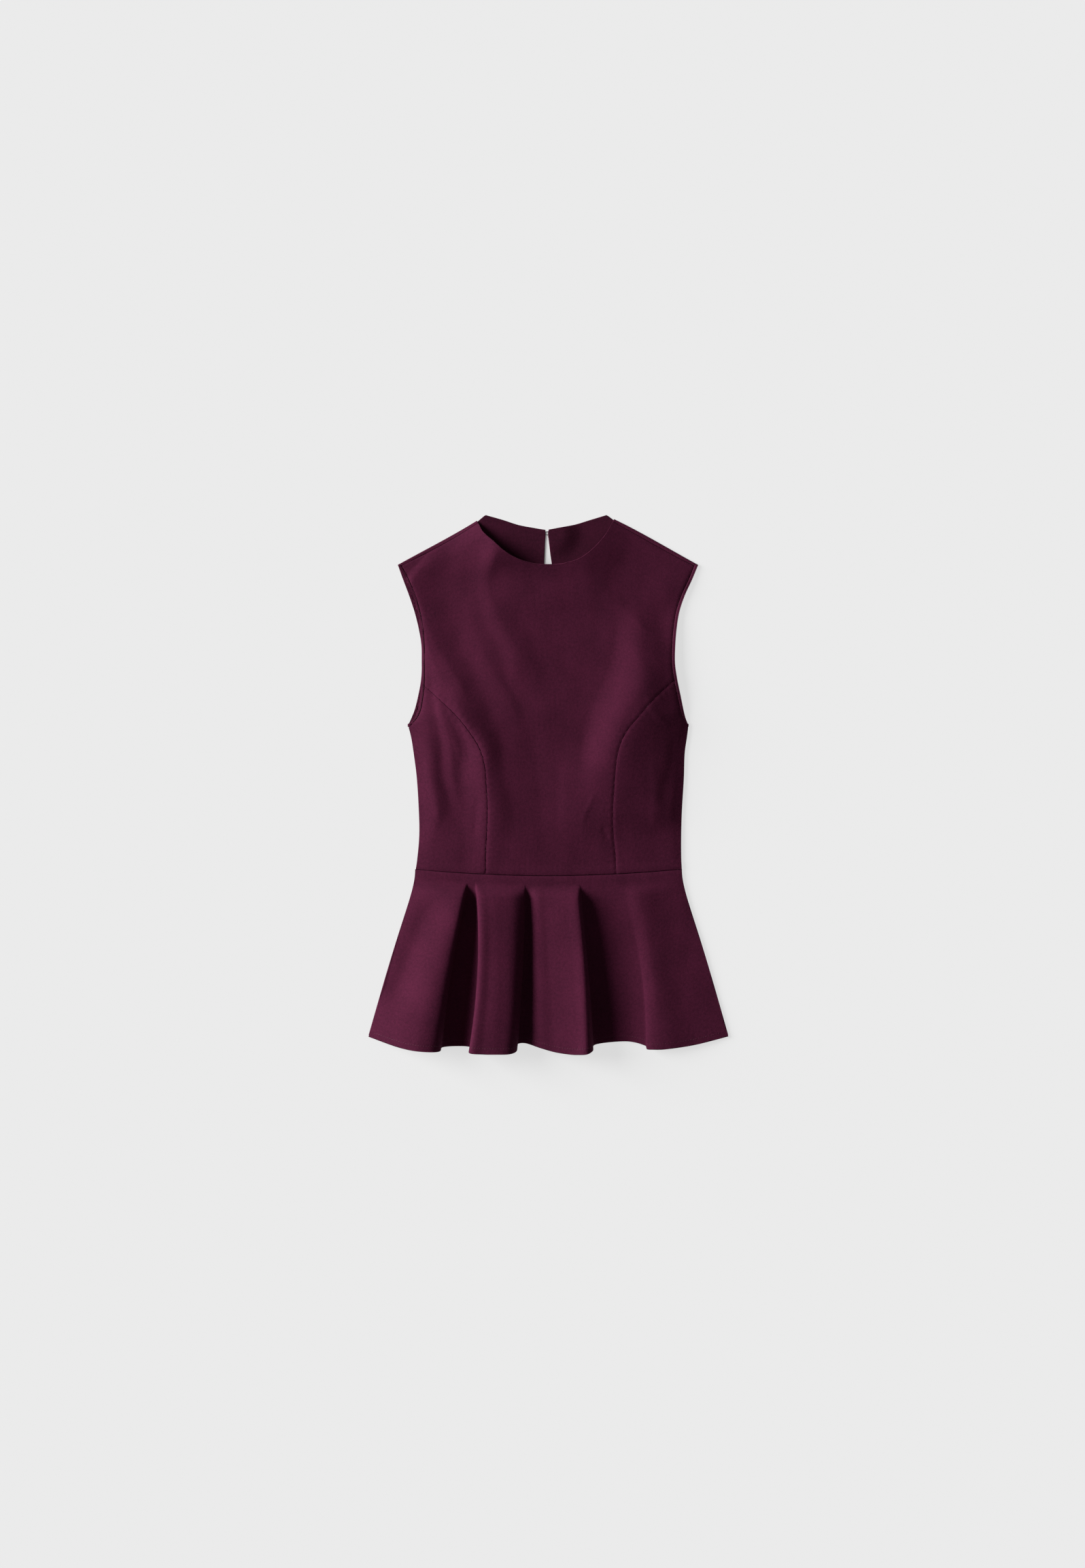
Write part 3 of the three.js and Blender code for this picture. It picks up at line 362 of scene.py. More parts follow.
def shoulder_share(side):
    start, end = shoulder_fold(side)[:2]
    return 1 - (BINDING_WIDTH + SEAM_GAP) / np.linalg.norm(end - start)


def armhole_edge(side, is_front):
    """A fine line on the armhole's edge, and the directions into the cloth."""
    tucked = 1 if is_front and side == RIGHT else 0
    points = np.array([(side * (row[COLUMN[side]] - tucked * row[3]), row[0]) for row in ARMHOLE], float)
    along, inward = shoulder_fold(side)[2:4]
    points[0] += inward * FOLD_INSET
    points[-1, 0] -= side * FOLD_INSET
    share = np.linspace(0, 1, ARMHOLE_POINTS)[:, None]
    line = at_shares(curve_through(points), share[:, 0])
    step = np.gradient(line, axis=0)
    step /= np.linalg.norm(step, axis=1)[:, None]
    into = np.stack([side * step[:, 1], -side * step[:, 0]], 1)
    first = 1 - smooth(share / TURNS_AT_TOP)
    last = smooth((share - (1 - TURNS_AT_FOOT)) / TURNS_AT_FOOT)
    into = into * (1 - first - last) - along * first + np.array([0, -1]) * last
    return line, into / np.linalg.norm(into, axis=1)[:, None]


def panel_armhole(side, is_front):
    line, into = armhole_edge(side, is_front)
    return line + into * (BINDING_WIDTH + SEAM_GAP)


def princess_line(side, shift):
    armhole = panel_armhole(side, True)
    top = at_shares(armhole, [share_at_height(armhole, PRINCESS_TOP[side])])[0]
    foot = side * PRINCESS_WAIST[side]
    points = [tuple(top)] + [(side * row[COLUMN[side]], row[0]) for row in PRINCESS]
    points.append((foot, float(waist_height(foot))))
    return sideways(curve_through(points), side * shift)


# Heights of the laid cloth

def to_path(x, y, path):
    """Distance to a path that runs down, negative on its wearer's right, and the share passed by there."""
    nearest, share, gone = np.full(np.shape(x), 1e9), np.zeros(np.shape(x)), 0.0
    whole = sum(math.dist(a, b) for a, b in zip(path, path[1:]))
    for (ax, ay), (bx, by) in zip(path, path[1:]):
        dx, dy = bx - ax, by - ay
        long = math.hypot(dx, dy)
        t = np.clip(((x - ax) * dx + (y - ay) * dy) / (long * long), 0, 1)
        far = np.hypot(x - ax - t * dx, y - ay - t * dy)
        side = np.where(dx * (y - ay) - dy * (x - ax) < 0, -1, 1)
        closer = far < np.abs(nearest)
        share = np.where(closer, (gone + t * long) / whole, share)
        nearest = np.where(closer, far * side, nearest)
        gone += long
    return nearest, share


def fold_height(x, y, path, height, right_width, left_width):
    far, share = to_path(x, y, path)
    fades = smooth(share / FOLD_ENDS) * smooth((1 - share) / FOLD_ENDS)
    return height * fades * np.exp(-((far / np.where(far < 0, right_width, left_width)) ** 2))


def edge_rise(distance, reach, roundness):
    return 1 - (1 - np.clip(distance / reach, 0, 1)) ** roundness


def side_distance(side, x, y):
    upper, lower = read_table(ARMHOLE, COLUMN[side], y), read_table(SIDE_SEAM, COLUMN[side], y)
    return np.where(y > SIDE_SEAM[0][0], upper, lower) - side * x


def shoulder_distance(side, x, y):
    start, _, _, inward, _ = shoulder_fold(side)
    return (x - start[0]) * inward[0] + (y - start[1]) * inward[1]


def front_form(x, y):
    """The height between the lines that run down the front, with no overshoot."""
    at = [-side_distance(RIGHT, 0 * x, y)] + [read_table(FORM_AT, k, y) for k in range(1, len(FORM_AT[0]))]
    lift = [0 * x] + [read_table(FORM_LIFT, k, y) for k in range(1, len(FORM_LIFT[0]))]
    at = np.array(at + [side_distance(LEFT, 0 * x, y)])
    lift = np.array(lift + [read_table(EDGE_LIFT, 1, np.maximum(y, EDGE_LIFT[-1][0]))])
    gap = np.maximum(np.diff(at, axis=0), LEAST_SPACING)
    rise = np.diff(lift, axis=0) / gap
    before, after = rise[:-1], rise[1:]
    agree = before * after > 0
    middle = np.where(agree, 2 * before * after / np.where(agree, before + after, 1), 0)
    slope = np.concatenate([rise[:1], middle, rise[-1:]])
    x, height = np.clip(x, at[0], at[-1]), np.zeros(np.shape(x))
    for k in range(len(gap)):
        t = (x - at[k]) / gap[k]
        h = smooth(t)
        found = lift[k] * (1 - h) + lift[k + 1] * h
        found += gap[k] * (slope[k] * t * (1 - t) ** 2 - slope[k + 1] * t * t * (1 - t))
        height = np.where((t >= 0) & (t <= 1), found, height)
    return height


def front_relief(x, y):
    height = front_form(np.asarray(x, float), np.asarray(y, float))
    for side in (LEFT, RIGHT):
        height = height * edge_rise(shoulder_distance(side, x, y) - FOLD_INSET, SHOULDER_RISE, SHOULDER_ROUND)
    return height


def unevenness(x, y):
    """The slight unevenness of soft cloth: waves whose lengths in mm and phases never line up."""
    broad = np.sin(x / 7.3 + 1.3 * np.sin(y / 31 + 0.7)) * np.sin(y / 17 + 0.9 * np.sin(x / 23))
    fine = np.sin(x / 3.7 + y / 9.1 + 2 * np.sin(y / 41 + x / 67)) * np.sin(y / 8.3 - x / 29)
    return UNEVEN_BROAD * broad + UNEVEN_FINE * fine


def armhole_seam(side):
    line, into = armhole_edge(side, True)
    return line + into * (BINDING_WIDTH + SEAM_GAP / 2)


def seam_paths():
    """The seams of the front as paths that run down, and which of them pucker."""
    paths = []
    for side in (LEFT, RIGHT):
        paths.append((at_shares(princess_line(side, 0), np.linspace(0, 1, SEAM_POINTS)), True))
        paths.append((at_shares(armhole_seam(side), np.linspace(0.02, 0.98, SEAM_POINTS)), False))
        share = np.linspace(0, 1, 12) * shoulder_share(side)
        paths.append((shoulder_line(side, share, seam_depth(share)), False))
    x = np.linspace(-WAIST_HALF, WAIST_HALF, SEAM_POINTS)
    paths.append((np.stack([x, waist_height(x)], 1), False))
    return paths


def seam_relief(x, y):
    """How the front sinks at its seams and puckers beside the princess seams."""
    height = np.zeros(np.shape(x))
    for path, puckers in SEAMS:
        far, share = to_path(x, y, path.tolist())
        height -= DITCH * np.exp(-((far / DITCH_WIDTH) ** 2))
        if puckers:
            run = share * lengths(path)[-1]
            wave = np.sin(2 * math.pi * run / PUCKER_LENGTH)
            wave = wave + SECOND_PUCKER * np.sin(2 * math.pi * run / SECOND_LENGTH + SECOND_PHASE)
            height += PUCKER * wave * (np.abs(far) / PUCKER_REACH) * np.exp(0.5 - (far / PUCKER_REACH) ** 2)
    return height


def on_front(p):
    """The points of a plan set on the front's form, with its seams and small creases."""
    x, y = p[..., 0], p[..., 1]
    height = front_relief(x, y)
    lying = np.clip(height / DETAIL_FROM, 0, 1)
    detail = unevenness(x, y) + sum(fold_height(x, y, *crease) for crease in CREASES)
    above = y - waist_height(x)
    allowance = ALLOWANCE * (1 - smooth((above - ALLOWANCE_WIDTH) / ALLOWANCE_END))
    room = np.clip(DITCH_ROOM + height, 0, 1)
    height = height + detail * lying + allowance + seam_relief(x, y) * room
    return np.concatenate([p, (FRONT_Z + height)[..., None]], -1)


def on_back(p):
    """The points of a plan set on the back, which lies flat but over the button."""
    x, y = p[..., 0], p[..., 1]
    share = (np.hypot(x - BUTTON[0], y - BUTTON[1]) - BUTTON_FLAT) / (BUTTON_REACH - BUTTON_FLAT)
    lift = np.where(x > -BUTTON_FLAT / 4, BUTTON_LIFT * (1 - smooth(share)), 0)
    return np.concatenate([p, (BACK_Z + lift)[..., None]], -1)


SEAMS = seam_paths()


# Sheets and walls

def filled(bottom, top, start, end, across, up):
    """A grid between four edges, sampled at the shares across and up."""
    b, t = at_shares(bottom, across)[None], at_shares(top, across)[None]
    s, e = at_shares(start, up)[:, None], at_shares(end, up)[:, None]
    u, v = across[None, :, None], up[:, None, None]
    corner = b[:, :1] * (1 - u) * (1 - v) + b[:, -1:] * u * (1 - v)
    corner = corner + t[:, :1] * (1 - u) * v + t[:, -1:] * u * v
    return b * (1 - v) + t * v + s * (1 - u) + e * u - corner


def grid_quads(rows, columns, first=0, closed=False):
    r = np.arange(rows if closed else rows - 1)[:, None]
    c = np.arange(columns - 1)[None]
    here, there = first + r * columns + c, first + (r + 1) % rows * columns + c
    return np.stack([here, here + 1, there + 1, there], -1).reshape(-1, 4)


def make_mesh(name, points, faces, uv=None):
    mesh = bpy.data.meshes.new(name)
    mesh.from_pydata(((points + SHIFT) * MM).tolist(), [], faces)
    mesh.polygons.foreach_set("use_smooth", np.ones(len(mesh.polygons), bool))
    if uv is not None:
        loops = np.empty(len(mesh.loops), int)
        mesh.loops.foreach_get("vertex_index", loops)
        layer = mesh.uv_layers.new(name="weave")
        layer.data.foreach_set("uv", (uv[loops] * MM).astype(np.float32).ravel())
    mesh.validate()
    piece = bpy.data.objects.new(name, mesh)
    bpy.context.scene.collection.objects.link(piece)
    return piece


def wall(name, points, quads, uv):
    """A sheet's quads as a closed wall with a rounded rim."""
    points = points.reshape(-1, 3).copy()
    uv = uv.reshape(-1, 2)
    cross = np.cross(points[quads[:, 2]] - points[quads[:, 0]], points[quads[:, 3]] - points[quads[:, 1]])
    normal = np.zeros_like(points)
    for k in range(4):
        np.add.at(normal, quads[:, k], cross)
    normal /= np.maximum(np.linalg.norm(normal, axis=1), 1e-9)[:, None]
    edges = np.concatenate([quads[:, [k, (k + 1) % 4]] for k in range(4)])
    count = len(points)
    key, back = edges[:, 0] * count + edges[:, 1], edges[:, 1] * count + edges[:, 0]
    rim = edges[~np.isin(key, back)]
    out = np.zeros_like(points)
    push = np.cross(points[rim[:, 1]] - points[rim[:, 0]], normal[rim[:, 0]] + normal[rim[:, 1]])
    push /= np.maximum(np.linalg.norm(push, axis=1), 1e-9)[:, None]
    np.add.at(out, rim[:, 0], push)
    np.add.at(out, rim[:, 1], push)
    edge = np.unique(rim)
    out[edge] /= np.maximum(np.linalg.norm(out[edge], axis=1), 1e-9)[:, None]
    half = CLOTH / 2
    points[edge] -= out[edge] * half * RIM_INSET
    rings, place = [], np.full(count, -1)
    place[edge] = np.arange(len(edge))
    for k in range(1, RIM_STEPS):
        angle = math.pi * k / RIM_STEPS
        rings.append(points[edge] + (normal[edge] * math.cos(angle) + out[edge] * math.sin(angle)) * half)
    vertices = np.vstack([points + normal * half, points - normal * half] + rings)
    faces = [quads, quads[:, ::-1] + count]
    levels = [rim]
    for k in range(RIM_STEPS - 1):
        levels.append(2 * count + k * len(edge) + place[rim])
    levels.append(rim + count)
    for high, low in zip(levels, levels[1:]):
        faces.append(np.stack([high[:, 1], high[:, 0], low[:, 0], low[:, 1]], 1))
    all_uv = np.vstack([uv, uv] + [uv[edge]] * (RIM_STEPS - 1))
    return make_mesh(name, vertices, np.vstack(faces).tolist(), all_uv)


def weave_uv(grid):
    """Lengths along the rows and columns of a grid, so that the weave follows the cloth."""
    across = np.linalg.norm(np.diff(grid, axis=1), axis=2)
    up = np.linalg.norm(np.diff(grid, axis=0), axis=2)
    u = np.concatenate([np.zeros((grid.shape[0], 1)), np.cumsum(across, 1)], 1)
    v = np.concatenate([np.zeros((1, grid.shape[1])), np.cumsum(up, 0)], 0)
    return np.stack([u - u[:, [grid.shape[1] // 2]], v], -1)


# Bodice

def waist_line(from_x, to_x):
    x = np.linspace(from_x, to_x, EDGE_POINTS)
    return np.stack([x, waist_height(x) + SEAM_GAP / 2], 1)


def shoulder_seam(side, shift):
    armhole = panel_armhole(side, True)
    share = np.linspace(0, 1, SHOULDER_POINTS) * shoulder_share(side)
    line = shoulder_line(side, share, seam_depth(share) + shift)
    reach = (seam_depth([1.0])[0] + shift - FOLD_INSET) / lengths(armhole)[-1]
    line[-1] = at_shares(armhole, [max(reach, 0)])[0]
    return line


def front_centre():
    seams, necks, outers = {}, {}, {}
    for side in (RIGHT, LEFT):
        seams[side] = shoulder_seam(side, SEAM_GAP / 2)
        necks[side] = [(side * row[COLUMN[side]], row[0]) for row in FRONT_NECK]
        armhole = panel_armhole(side, True)
        start, end = (share_at_height(armhole, y) for y in (seams[side][-1, 1], PRINCESS_TOP[side]))
        edge = cut(armhole, start, end)
        outers[side] = np.vstack([edge[:-1], princess_line(side, -SEAM_GAP / 2)])[::-1]
    neck_points = [tuple(seams[RIGHT][0])] + necks[RIGHT] + [(0, FRONT_NECK_LOWEST)]
    neck = curve_through(neck_points + necks[LEFT][::-1] + [tuple(seams[LEFT][0])])
    top = np.vstack([seams[RIGHT][::-1], neck[1:-1], seams[LEFT]])
    for side in (RIGHT, LEFT):
        outers[side][0, 1] = waist_height(outers[side][0, 0]) + SEAM_GAP / 2
    bottom = waist_line(outers[RIGHT][0, 0], outers[LEFT][0, 0])
    runs = [lengths(line)[-1] for line in (seams[RIGHT], neck, seams[LEFT])]
    corners = np.cumsum(runs)[:-1] / sum(runs)
    across = np.concatenate([
        corners[0] * shares(runs[0], SHOULDER_STEP),
        corners[0] + (corners[1] - corners[0]) * shares(runs[1], FRONT_ACROSS)[1:],
        corners[1] + (1 - corners[1]) * shares(runs[2], SHOULDER_STEP)[1:],
    ])
    up = shares(lengths(outers[LEFT])[-1], FRONT_DOWN)
    grid = filled(bottom, top, outers[RIGHT], outers[LEFT], across, up)
    points = on_front(grid)
    return wall("top_front_centre", points, grid_quads(*grid.shape[:2]), weave_uv(points))


def front_side(side):
    armhole = panel_armhole(side, True)
    princess = princess_line(side, SEAM_GAP / 2)[::-1].copy()
    top = cut(armhole, share_at_height(armhole, PRINCESS_TOP[side]), 1)
    y = np.linspace(WAIST_SIDES + SEAM_GAP / 2, top[-1, 1], EDGE_POINTS)
    outer = np.stack([side * read_table(SIDE_SEAM, COLUMN[side], y), y], 1)
    outer[-1], top[0] = top[-1], princess[-1]
    princess[0, 1] = waist_height(princess[0, 0]) + SEAM_GAP / 2
    bottom = waist_line(princess[0, 0], outer[0, 0])
    outer[0] = bottom[-1]
    width, length = SIDE_FRONT_SIZE
    grid = filled(bottom, top, princess, outer, shares(width, FRONT_ACROSS), shares(length, FRONT_DOWN))
    points = on_front(grid)
    return wall(f"top_front_side_{NAME[side]}", points, grid_quads(*grid.shape[:2]), weave_uv(points))


def fold_rows(row, outward):
    """The cloth that turns over a fold, one row of points for each step of the turn."""
    rows = []
    for k in range(1, FOLD_STEPS + 1):
        angle = math.pi * k / FOLD_STEPS
        turned = row.copy()
        turned[:, :2] += outward * FOLD_RADIUS * math.sin(angle)
        turned[:, 2] = BACK_Z + FOLD_RADIUS * (1 - math.cos(angle))
        rows.append(turned)
    return rows


def back(side):
    """One half of the back, over its shoulder to the front, and the faces that are inside the garment."""
    armhole = panel_armhole(side, False)
    neck = table_line(BACK_NECK[::-1], side)
    share = np.linspace(0, 1, SHOULDER_POINTS) * shoulder_share(side)
    fold_line = shoulder_line(side, share, np.full(SHOULDER_POINTS, FOLD_INSET))
    fold_line[-1] = armhole[0]
    y = np.linspace(armhole[-1, 1], WAIST_SIDES + SEAM_GAP / 2, 60)
    lower = np.stack([side * read_table(SIDE_SEAM, COLUMN[side], y), y], 1)
    outer = np.vstack([armhole[:-1], lower])[::-1].copy()
    slit = table_line(SLIT, side)
    foot = (slit[-1, 0], float(waist_height(0)) + SEAM_GAP / 2)
    inner = np.vstack([slit, [foot]])[::-1].copy()
    inner[-1] = neck[0]
    bottom = waist_line(foot[0], outer[0, 0])
    outer[0] = bottom[-1]
    top = np.vstack([neck, fold_line])
    runs = [lengths(np.vstack([neck, fold_line[:1]]))[-1], lengths(fold_line)[-1]]
    corner = runs[0] / sum(runs)
    neck_shares = corner * shares(runs[0], BACK_ACROSS)
    fold_shares = corner + (1 - corner) * shares(runs[1], SHOULDER_STEP)[1:]
    across = np.concatenate([neck_shares, fold_shares])
    grid = on_back(filled(bottom, top, inner, outer, across, shares(lengths(outer)[-1], BACK_DOWN)))
    first = len(neck_shares) - 1
    turned = fold_rows(grid[-1, first:], -shoulder_fold(side)[3])
    seam = on_front(shoulder_seam(side, -SEAM_GAP / 2))
    run = np.concatenate([[0], (fold_shares - corner) / (1 - corner)])
    strip = at_shares(seam, run)
    start = turned[-1]
    strips = [start * (1 - t) + strip * t for t in STRIP_ROWS]
    for t, row in zip(STRIP_ROWS[:-1], strips[:-1]):
        row[:, 2] = start[:, 2] * (1 - t) + strip[:, 2] * t + STRIP_ARCH * math.sin(math.pi * t)
    extra = np.array(turned + strips)
    points = np.vstack([grid.reshape(-1, 3), extra.reshape(-1, 3)])
    flat_uv, rows, columns = weave_uv(grid), grid.shape[0], grid.shape[1]
    width = columns - first
    join = np.concatenate([grid[-1:, first:], extra])
    join_uv = weave_uv(join)
    join_uv[..., 0] = flat_uv[-1, first:, 0]
    join_uv[..., 1] += flat_uv[-1, first:, 1]
    uv = np.vstack([flat_uv.reshape(-1, 2), join_uv[1:].reshape(-1, 2)])
    base = rows * columns
    last_row = base - width + np.arange(width - 1)
    turned_row = base + np.arange(width - 1)
    fold_quads = np.stack([last_row, last_row + 1, turned_row + 1, turned_row], 1)
    flat_quads = grid_quads(rows, columns)
    quads = np.vstack([flat_quads, fold_quads, grid_quads(len(extra), width, base)])
    # The halves mirror each other, so the wall's second layer of faces is the inner one on the right
    start_inside = len(quads) if side == RIGHT else 0
    inside = range(start_inside, start_inside + len(flat_quads))
    return wall(f"top_back_{NAME[side]}", points, quads, uv), inside


def binding(side):
    """The band round one armhole, folded over at the shoulder tip and at the underarm."""
    legs = []
    for is_front in (True, False):
        line, into = armhole_edge(side, is_front)
        across = line[:, None] + into[:, None] * BINDING_WIDTH * BAND_ROWS[None, :, None]
        legs.append(on_front(across) if is_front else on_back(across))
    front_leg, back_leg = legs
    front_leg[..., 2] += BAND_ARCH * np.sin(math.pi * BAND_ROWS)[None]
    shoulder = fold_rows(back_leg[0], -shoulder_fold(side)[3])[:-1]
    underarm = fold_rows(back_leg[-1], np.array([side, 0]))[:-1]
    grid = np.concatenate([back_leg, np.array(underarm), front_leg[::-1], np.array(shoulder)[::-1]])
    quads = grid_quads(*grid.shape[:2], closed=True)
    return wall(f"top_binding_{NAME[side]}", grid, quads, weave_uv(grid))


# Peplum

def peplum_stations(position):
    table = np.array(PEPLUM, float)
    last = len(table) - 1
    i = np.minimum(position.astype(int), last - 1)
    t = (position - i)[:, None]
    a, b, c, d = (table[np.clip(i + k, 0, last)] for k in (-1, 0, 1, 2))
    found = (2 * b + (c - a) * t + (2 * a - 5 * b + 4 * c - d) * t**2 + (3 * b - a - 3 * c + d) * t**3) / 2
    found[:, 3] = np.maximum(found[:, 3], 0)
    return found


def flare(down):
    """The share of the flare that is reached at a share of the peplum's length."""
    reach = down / FLARE_DELAY_AT
    return down - FLARE_DELAY * reach * np.exp(1 - reach)


def peplum_surface(position, down):
    """Points of the front peplum at positions across its table and shares of its length."""
    station = peplum_stations(np.asarray(position, float))
    down = np.asarray(down, float)[:, None]
    seam_x, seam_y = station[:, 0][None], waist_height(station[:, 0])[None] - SEAM_GAP / 2
    x = seam_x + (station[:, 1][None] - seam_x) * flare(down) + station[:, 4][None] * 4 * down * (1 - down)
    y = seam_y + (station[:, 2][None] - seam_y) * down
    begun = np.maximum(down - FLUTES_START, 0)
    grown = (begun / (1 - FLUTES_START)) ** FLUTE_GROWTH * smooth(begun / FLUTES_SOFTEN)
    body = front_relief(seam_x, seam_y) * (1 - smooth(down / BODY_LIFT_FADES))
    lift = station[:, 3][None] * grown + fold_height(x, y, *FLUTE_TROUGH)
    sunk = DITCH * np.exp(-(((seam_y - y) / DITCH_WIDTH) ** 2))
    return np.stack([x, y, FRONT_Z + body + np.maximum(lift, 0) + unevenness(x, y) - sunk], -1)


def hem_table():
    """Fine positions across the peplum's table, and how far along the hem each of them is."""
    position = np.linspace(0, len(PEPLUM) - 1, 4001)
    return position, lengths(peplum_stations(position)[:, 1:4])


HEM_POSITION, HEM_RUN = hem_table()


def along_hem(share):
    return np.interp(share * HEM_RUN[-1], HEM_RUN, HEM_POSITION)


def peplum_front():
    position = along_hem(shares(HEM_RUN[-1], PEPLUM_ACROSS))
    grid = peplum_surface(position, shares(PEPLUM_LENGTH, PEPLUM_DOWN))
    return wall("top_peplum_front", grid, grid_quads(*grid.shape[:2]), weave_uv(grid))


def peplum_back():
    first, last = PEPLUM[0], PEPLUM[-1]
    width, length = PEPLUM_BACK_SIZE
    across, down = shares(width, PEPLUM_BACK_STEP)[None], shares(length, PEPLUM_BACK_STEP)[:, None]
    seam_x = first[0] + (last[0] - first[0]) * across
    hem_x = first[1] + (last[1] - first[1]) * across
    hem_y = BACK_HEM_MIDDLE + (BACK_HEM_SIDES - BACK_HEM_MIDDLE) * (2 * across - 1) ** 2
    seam_y = waist_height(seam_x) - SEAM_GAP / 2
    grid = np.stack([seam_x + (hem_x - seam_x) * flare(down), seam_y + (hem_y - seam_y) * down], -1)
    points = on_back(grid)
    return wall("top_peplum_back", points, grid_quads(*grid.shape[:2]), weave_uv(points))


# Stitches and the loop

def normals_of(points, other):
    """Unit normals of a line of points, with a second line beside it in the same surface."""
    normal = np.cross(np.gradient(points, axis=0), other - points)
    normal *= np.sign(normal[:, 2:3])
    return normal / np.linalg.norm(normal, axis=1)[:, None]


def tube_quads(rings, sides):
    """The faces of a tube whose points are numbered ring by ring."""
    r, k = np.arange(rings - 1)[:, None] * sides, np.arange(sides)[None]
    following = (k + 1) % sides
    return np.stack([r + k, r + following, r + sides + following, r + sides + k], -1).reshape(-1, 4)


def stitches(name, line, beside, pitch, long):
    """A row of short threads that dip into the cloth at both ends."""
    run = lengths(line)
    count = int((run[-1] - 2 * ROW_END) / pitch)
    middle = (ROW_END + pitch * (np.arange(count) + 0.5)) / run[-1]
    normal = normals_of(line, beside)
    centre = at_shares(line, middle)
    half = long / 2 / run[-1]
    ahead, behind = at_shares(line, middle + half), at_shares(line, middle - half)
    along = (ahead - behind) / np.linalg.norm(ahead - behind, axis=1)[:, None]
    up = np.stack([np.interp(middle * run[-1], run, normal[:, k]) for k in range(3)], 1)
    side = np.cross(up, along)
    rings = []
    for at, width in STITCH_RINGS:
        rise = CLOTH / 2 + THREAD * (THREAD_OUT - THREAD_DIP * at**4)
        base = centre + along * at * long / 2 + up * rise
        for k in range(THREAD_SIDES):
            angle = 2 * math.pi * k / THREAD_SIDES
            rings.append(base + (side * math.cos(angle) + up * math.sin(angle)) * THREAD * width)
    points = np.array(rings).transpose(1, 0, 2).reshape(-1, 3)
    size = len(rings)
    one = tube_quads(len(STITCH_RINGS), THREAD_SIDES)
    faces = (one[None] + size * np.arange(count)[:, None, None]).reshape(-1, 4).tolist()
    for first in range(0, size * count, size):
        faces.append([first + k for k in range(THREAD_SIDES - 1, -1, -1)])
        faces.append([first + size - THREAD_SIDES + k for k in range(THREAD_SIDES)])
    return make_mesh(name, points, faces)


def hem_stitches():
    """The row above the hem. The line beside it, a little higher, gives the slope of the cloth."""
    at = 1 - HEM_STITCHES_AT / PEPLUM_LENGTH
    line, beside = peplum_surface(along_hem(np.linspace(0.006, 0.994, 420)), [at, at - 0.005])
    return stitches("hem_stitches", line, beside, HEM_PITCH, HEM_STITCH)


def band_stitches(side):
    line, into = armhole_edge(side, True)
    rows = [on_front(line + into * depth) for depth in (BAND_STITCHES_AT, BAND_STITCHES_AT + 0.5)]
    return stitches(f"band_stitches_{NAME[side]}", rows[0], rows[1], BAND_PITCH, BAND_STITCH)


def loop_cord():
    """Two strands from the edge of the slit, round the button's shank."""
    strand = [
        (LOOP_ROOT, LOOP_HALF, LOOP_ROOT_Z),
        (LOOP_ROOT + LOOP_BEND, LOOP_HALF, (LOOP_ROOT_Z + LOOP_Z) / 2),
        (BUTTON[0] - BUTTON_RADIUS, LOOP_HALF, LOOP_Z),
    ]
    turn = [math.pi / 2 - math.pi * k / 6 for k in range(7)]
    path = strand + [(BUTTON[0] + LOOP_HALF * math.cos(a), LOOP_HALF * math.sin(a), LOOP_Z) for a in turn]
    path = path + [(x, -y, z) for x, y, z in reversed(strand)]
    line = at_shares(curve_through(path), np.linspace(0, 1, CORD_RINGS)) + np.array([0, BUTTON[1], 0])
    along = np.gradient(line, axis=0)
    along /= np.linalg.norm(along, axis=1)[:, None]
    side = np.cross(along, [0, 0, 1])
    side /= np.linalg.norm(side, axis=1)[:, None]
    up = np.cross(side, along)
    angle = 2 * math.pi * np.arange(CORD_SIDES)[None] / CORD_SIDES
    ring = side[:, None] * np.cos(angle)[..., None] + up[:, None] * np.sin(angle)[..., None]
    ribs = 1 + RIB_DEPTH * np.sin(RIBS * angle + np.arange(CORD_RINGS)[:, None] * RIB_TWIST)
    points = (line[:, None] + ring * (LOOP_RADIUS * ribs)[..., None]).reshape(-1, 3)
    quads = tube_quads(CORD_RINGS, CORD_SIDES)[:, [0, 3, 2, 1]].tolist()
    end = len(points)
    caps = [list(range(CORD_SIDES)), list(range(end - 1, end - CORD_SIDES - 1, -1))]
    return make_mesh("top_neck_loop", points, quads + caps)


# Materials

def socket(node, name, value):
    node.inputs[name].default_value = value


def linear(r, g, b):
    """An sRGB colour from 0 to 255 as linear values."""
    return tuple(((c / 255 + 0.055) / 1.055) ** 2.4 if c > 10 else c / 255 / 12.92 for c in (r, g, b)) + (1,)


def new_material(name):
    material = bpy.data.materials.new(name)
    material.use_nodes = True
    nodes, links = material.node_tree.nodes, material.node_tree.links
    return material, nodes, links, nodes["Principled BSDF"]


def colour_between(nodes, links, factor, dark, light):
    """Gives the shader a colour that runs from dark to light with a texture's value."""
    mix = nodes.new("ShaderNodeMix")
    mix.data_type = "RGBA"
    links.new(factor, mix.inputs["Factor"])
    mix.inputs[6].default_value = dark
    mix.inputs[7].default_value = light
    links.new(mix.outputs[2], nodes["Principled BSDF"].inputs["Base Color"])


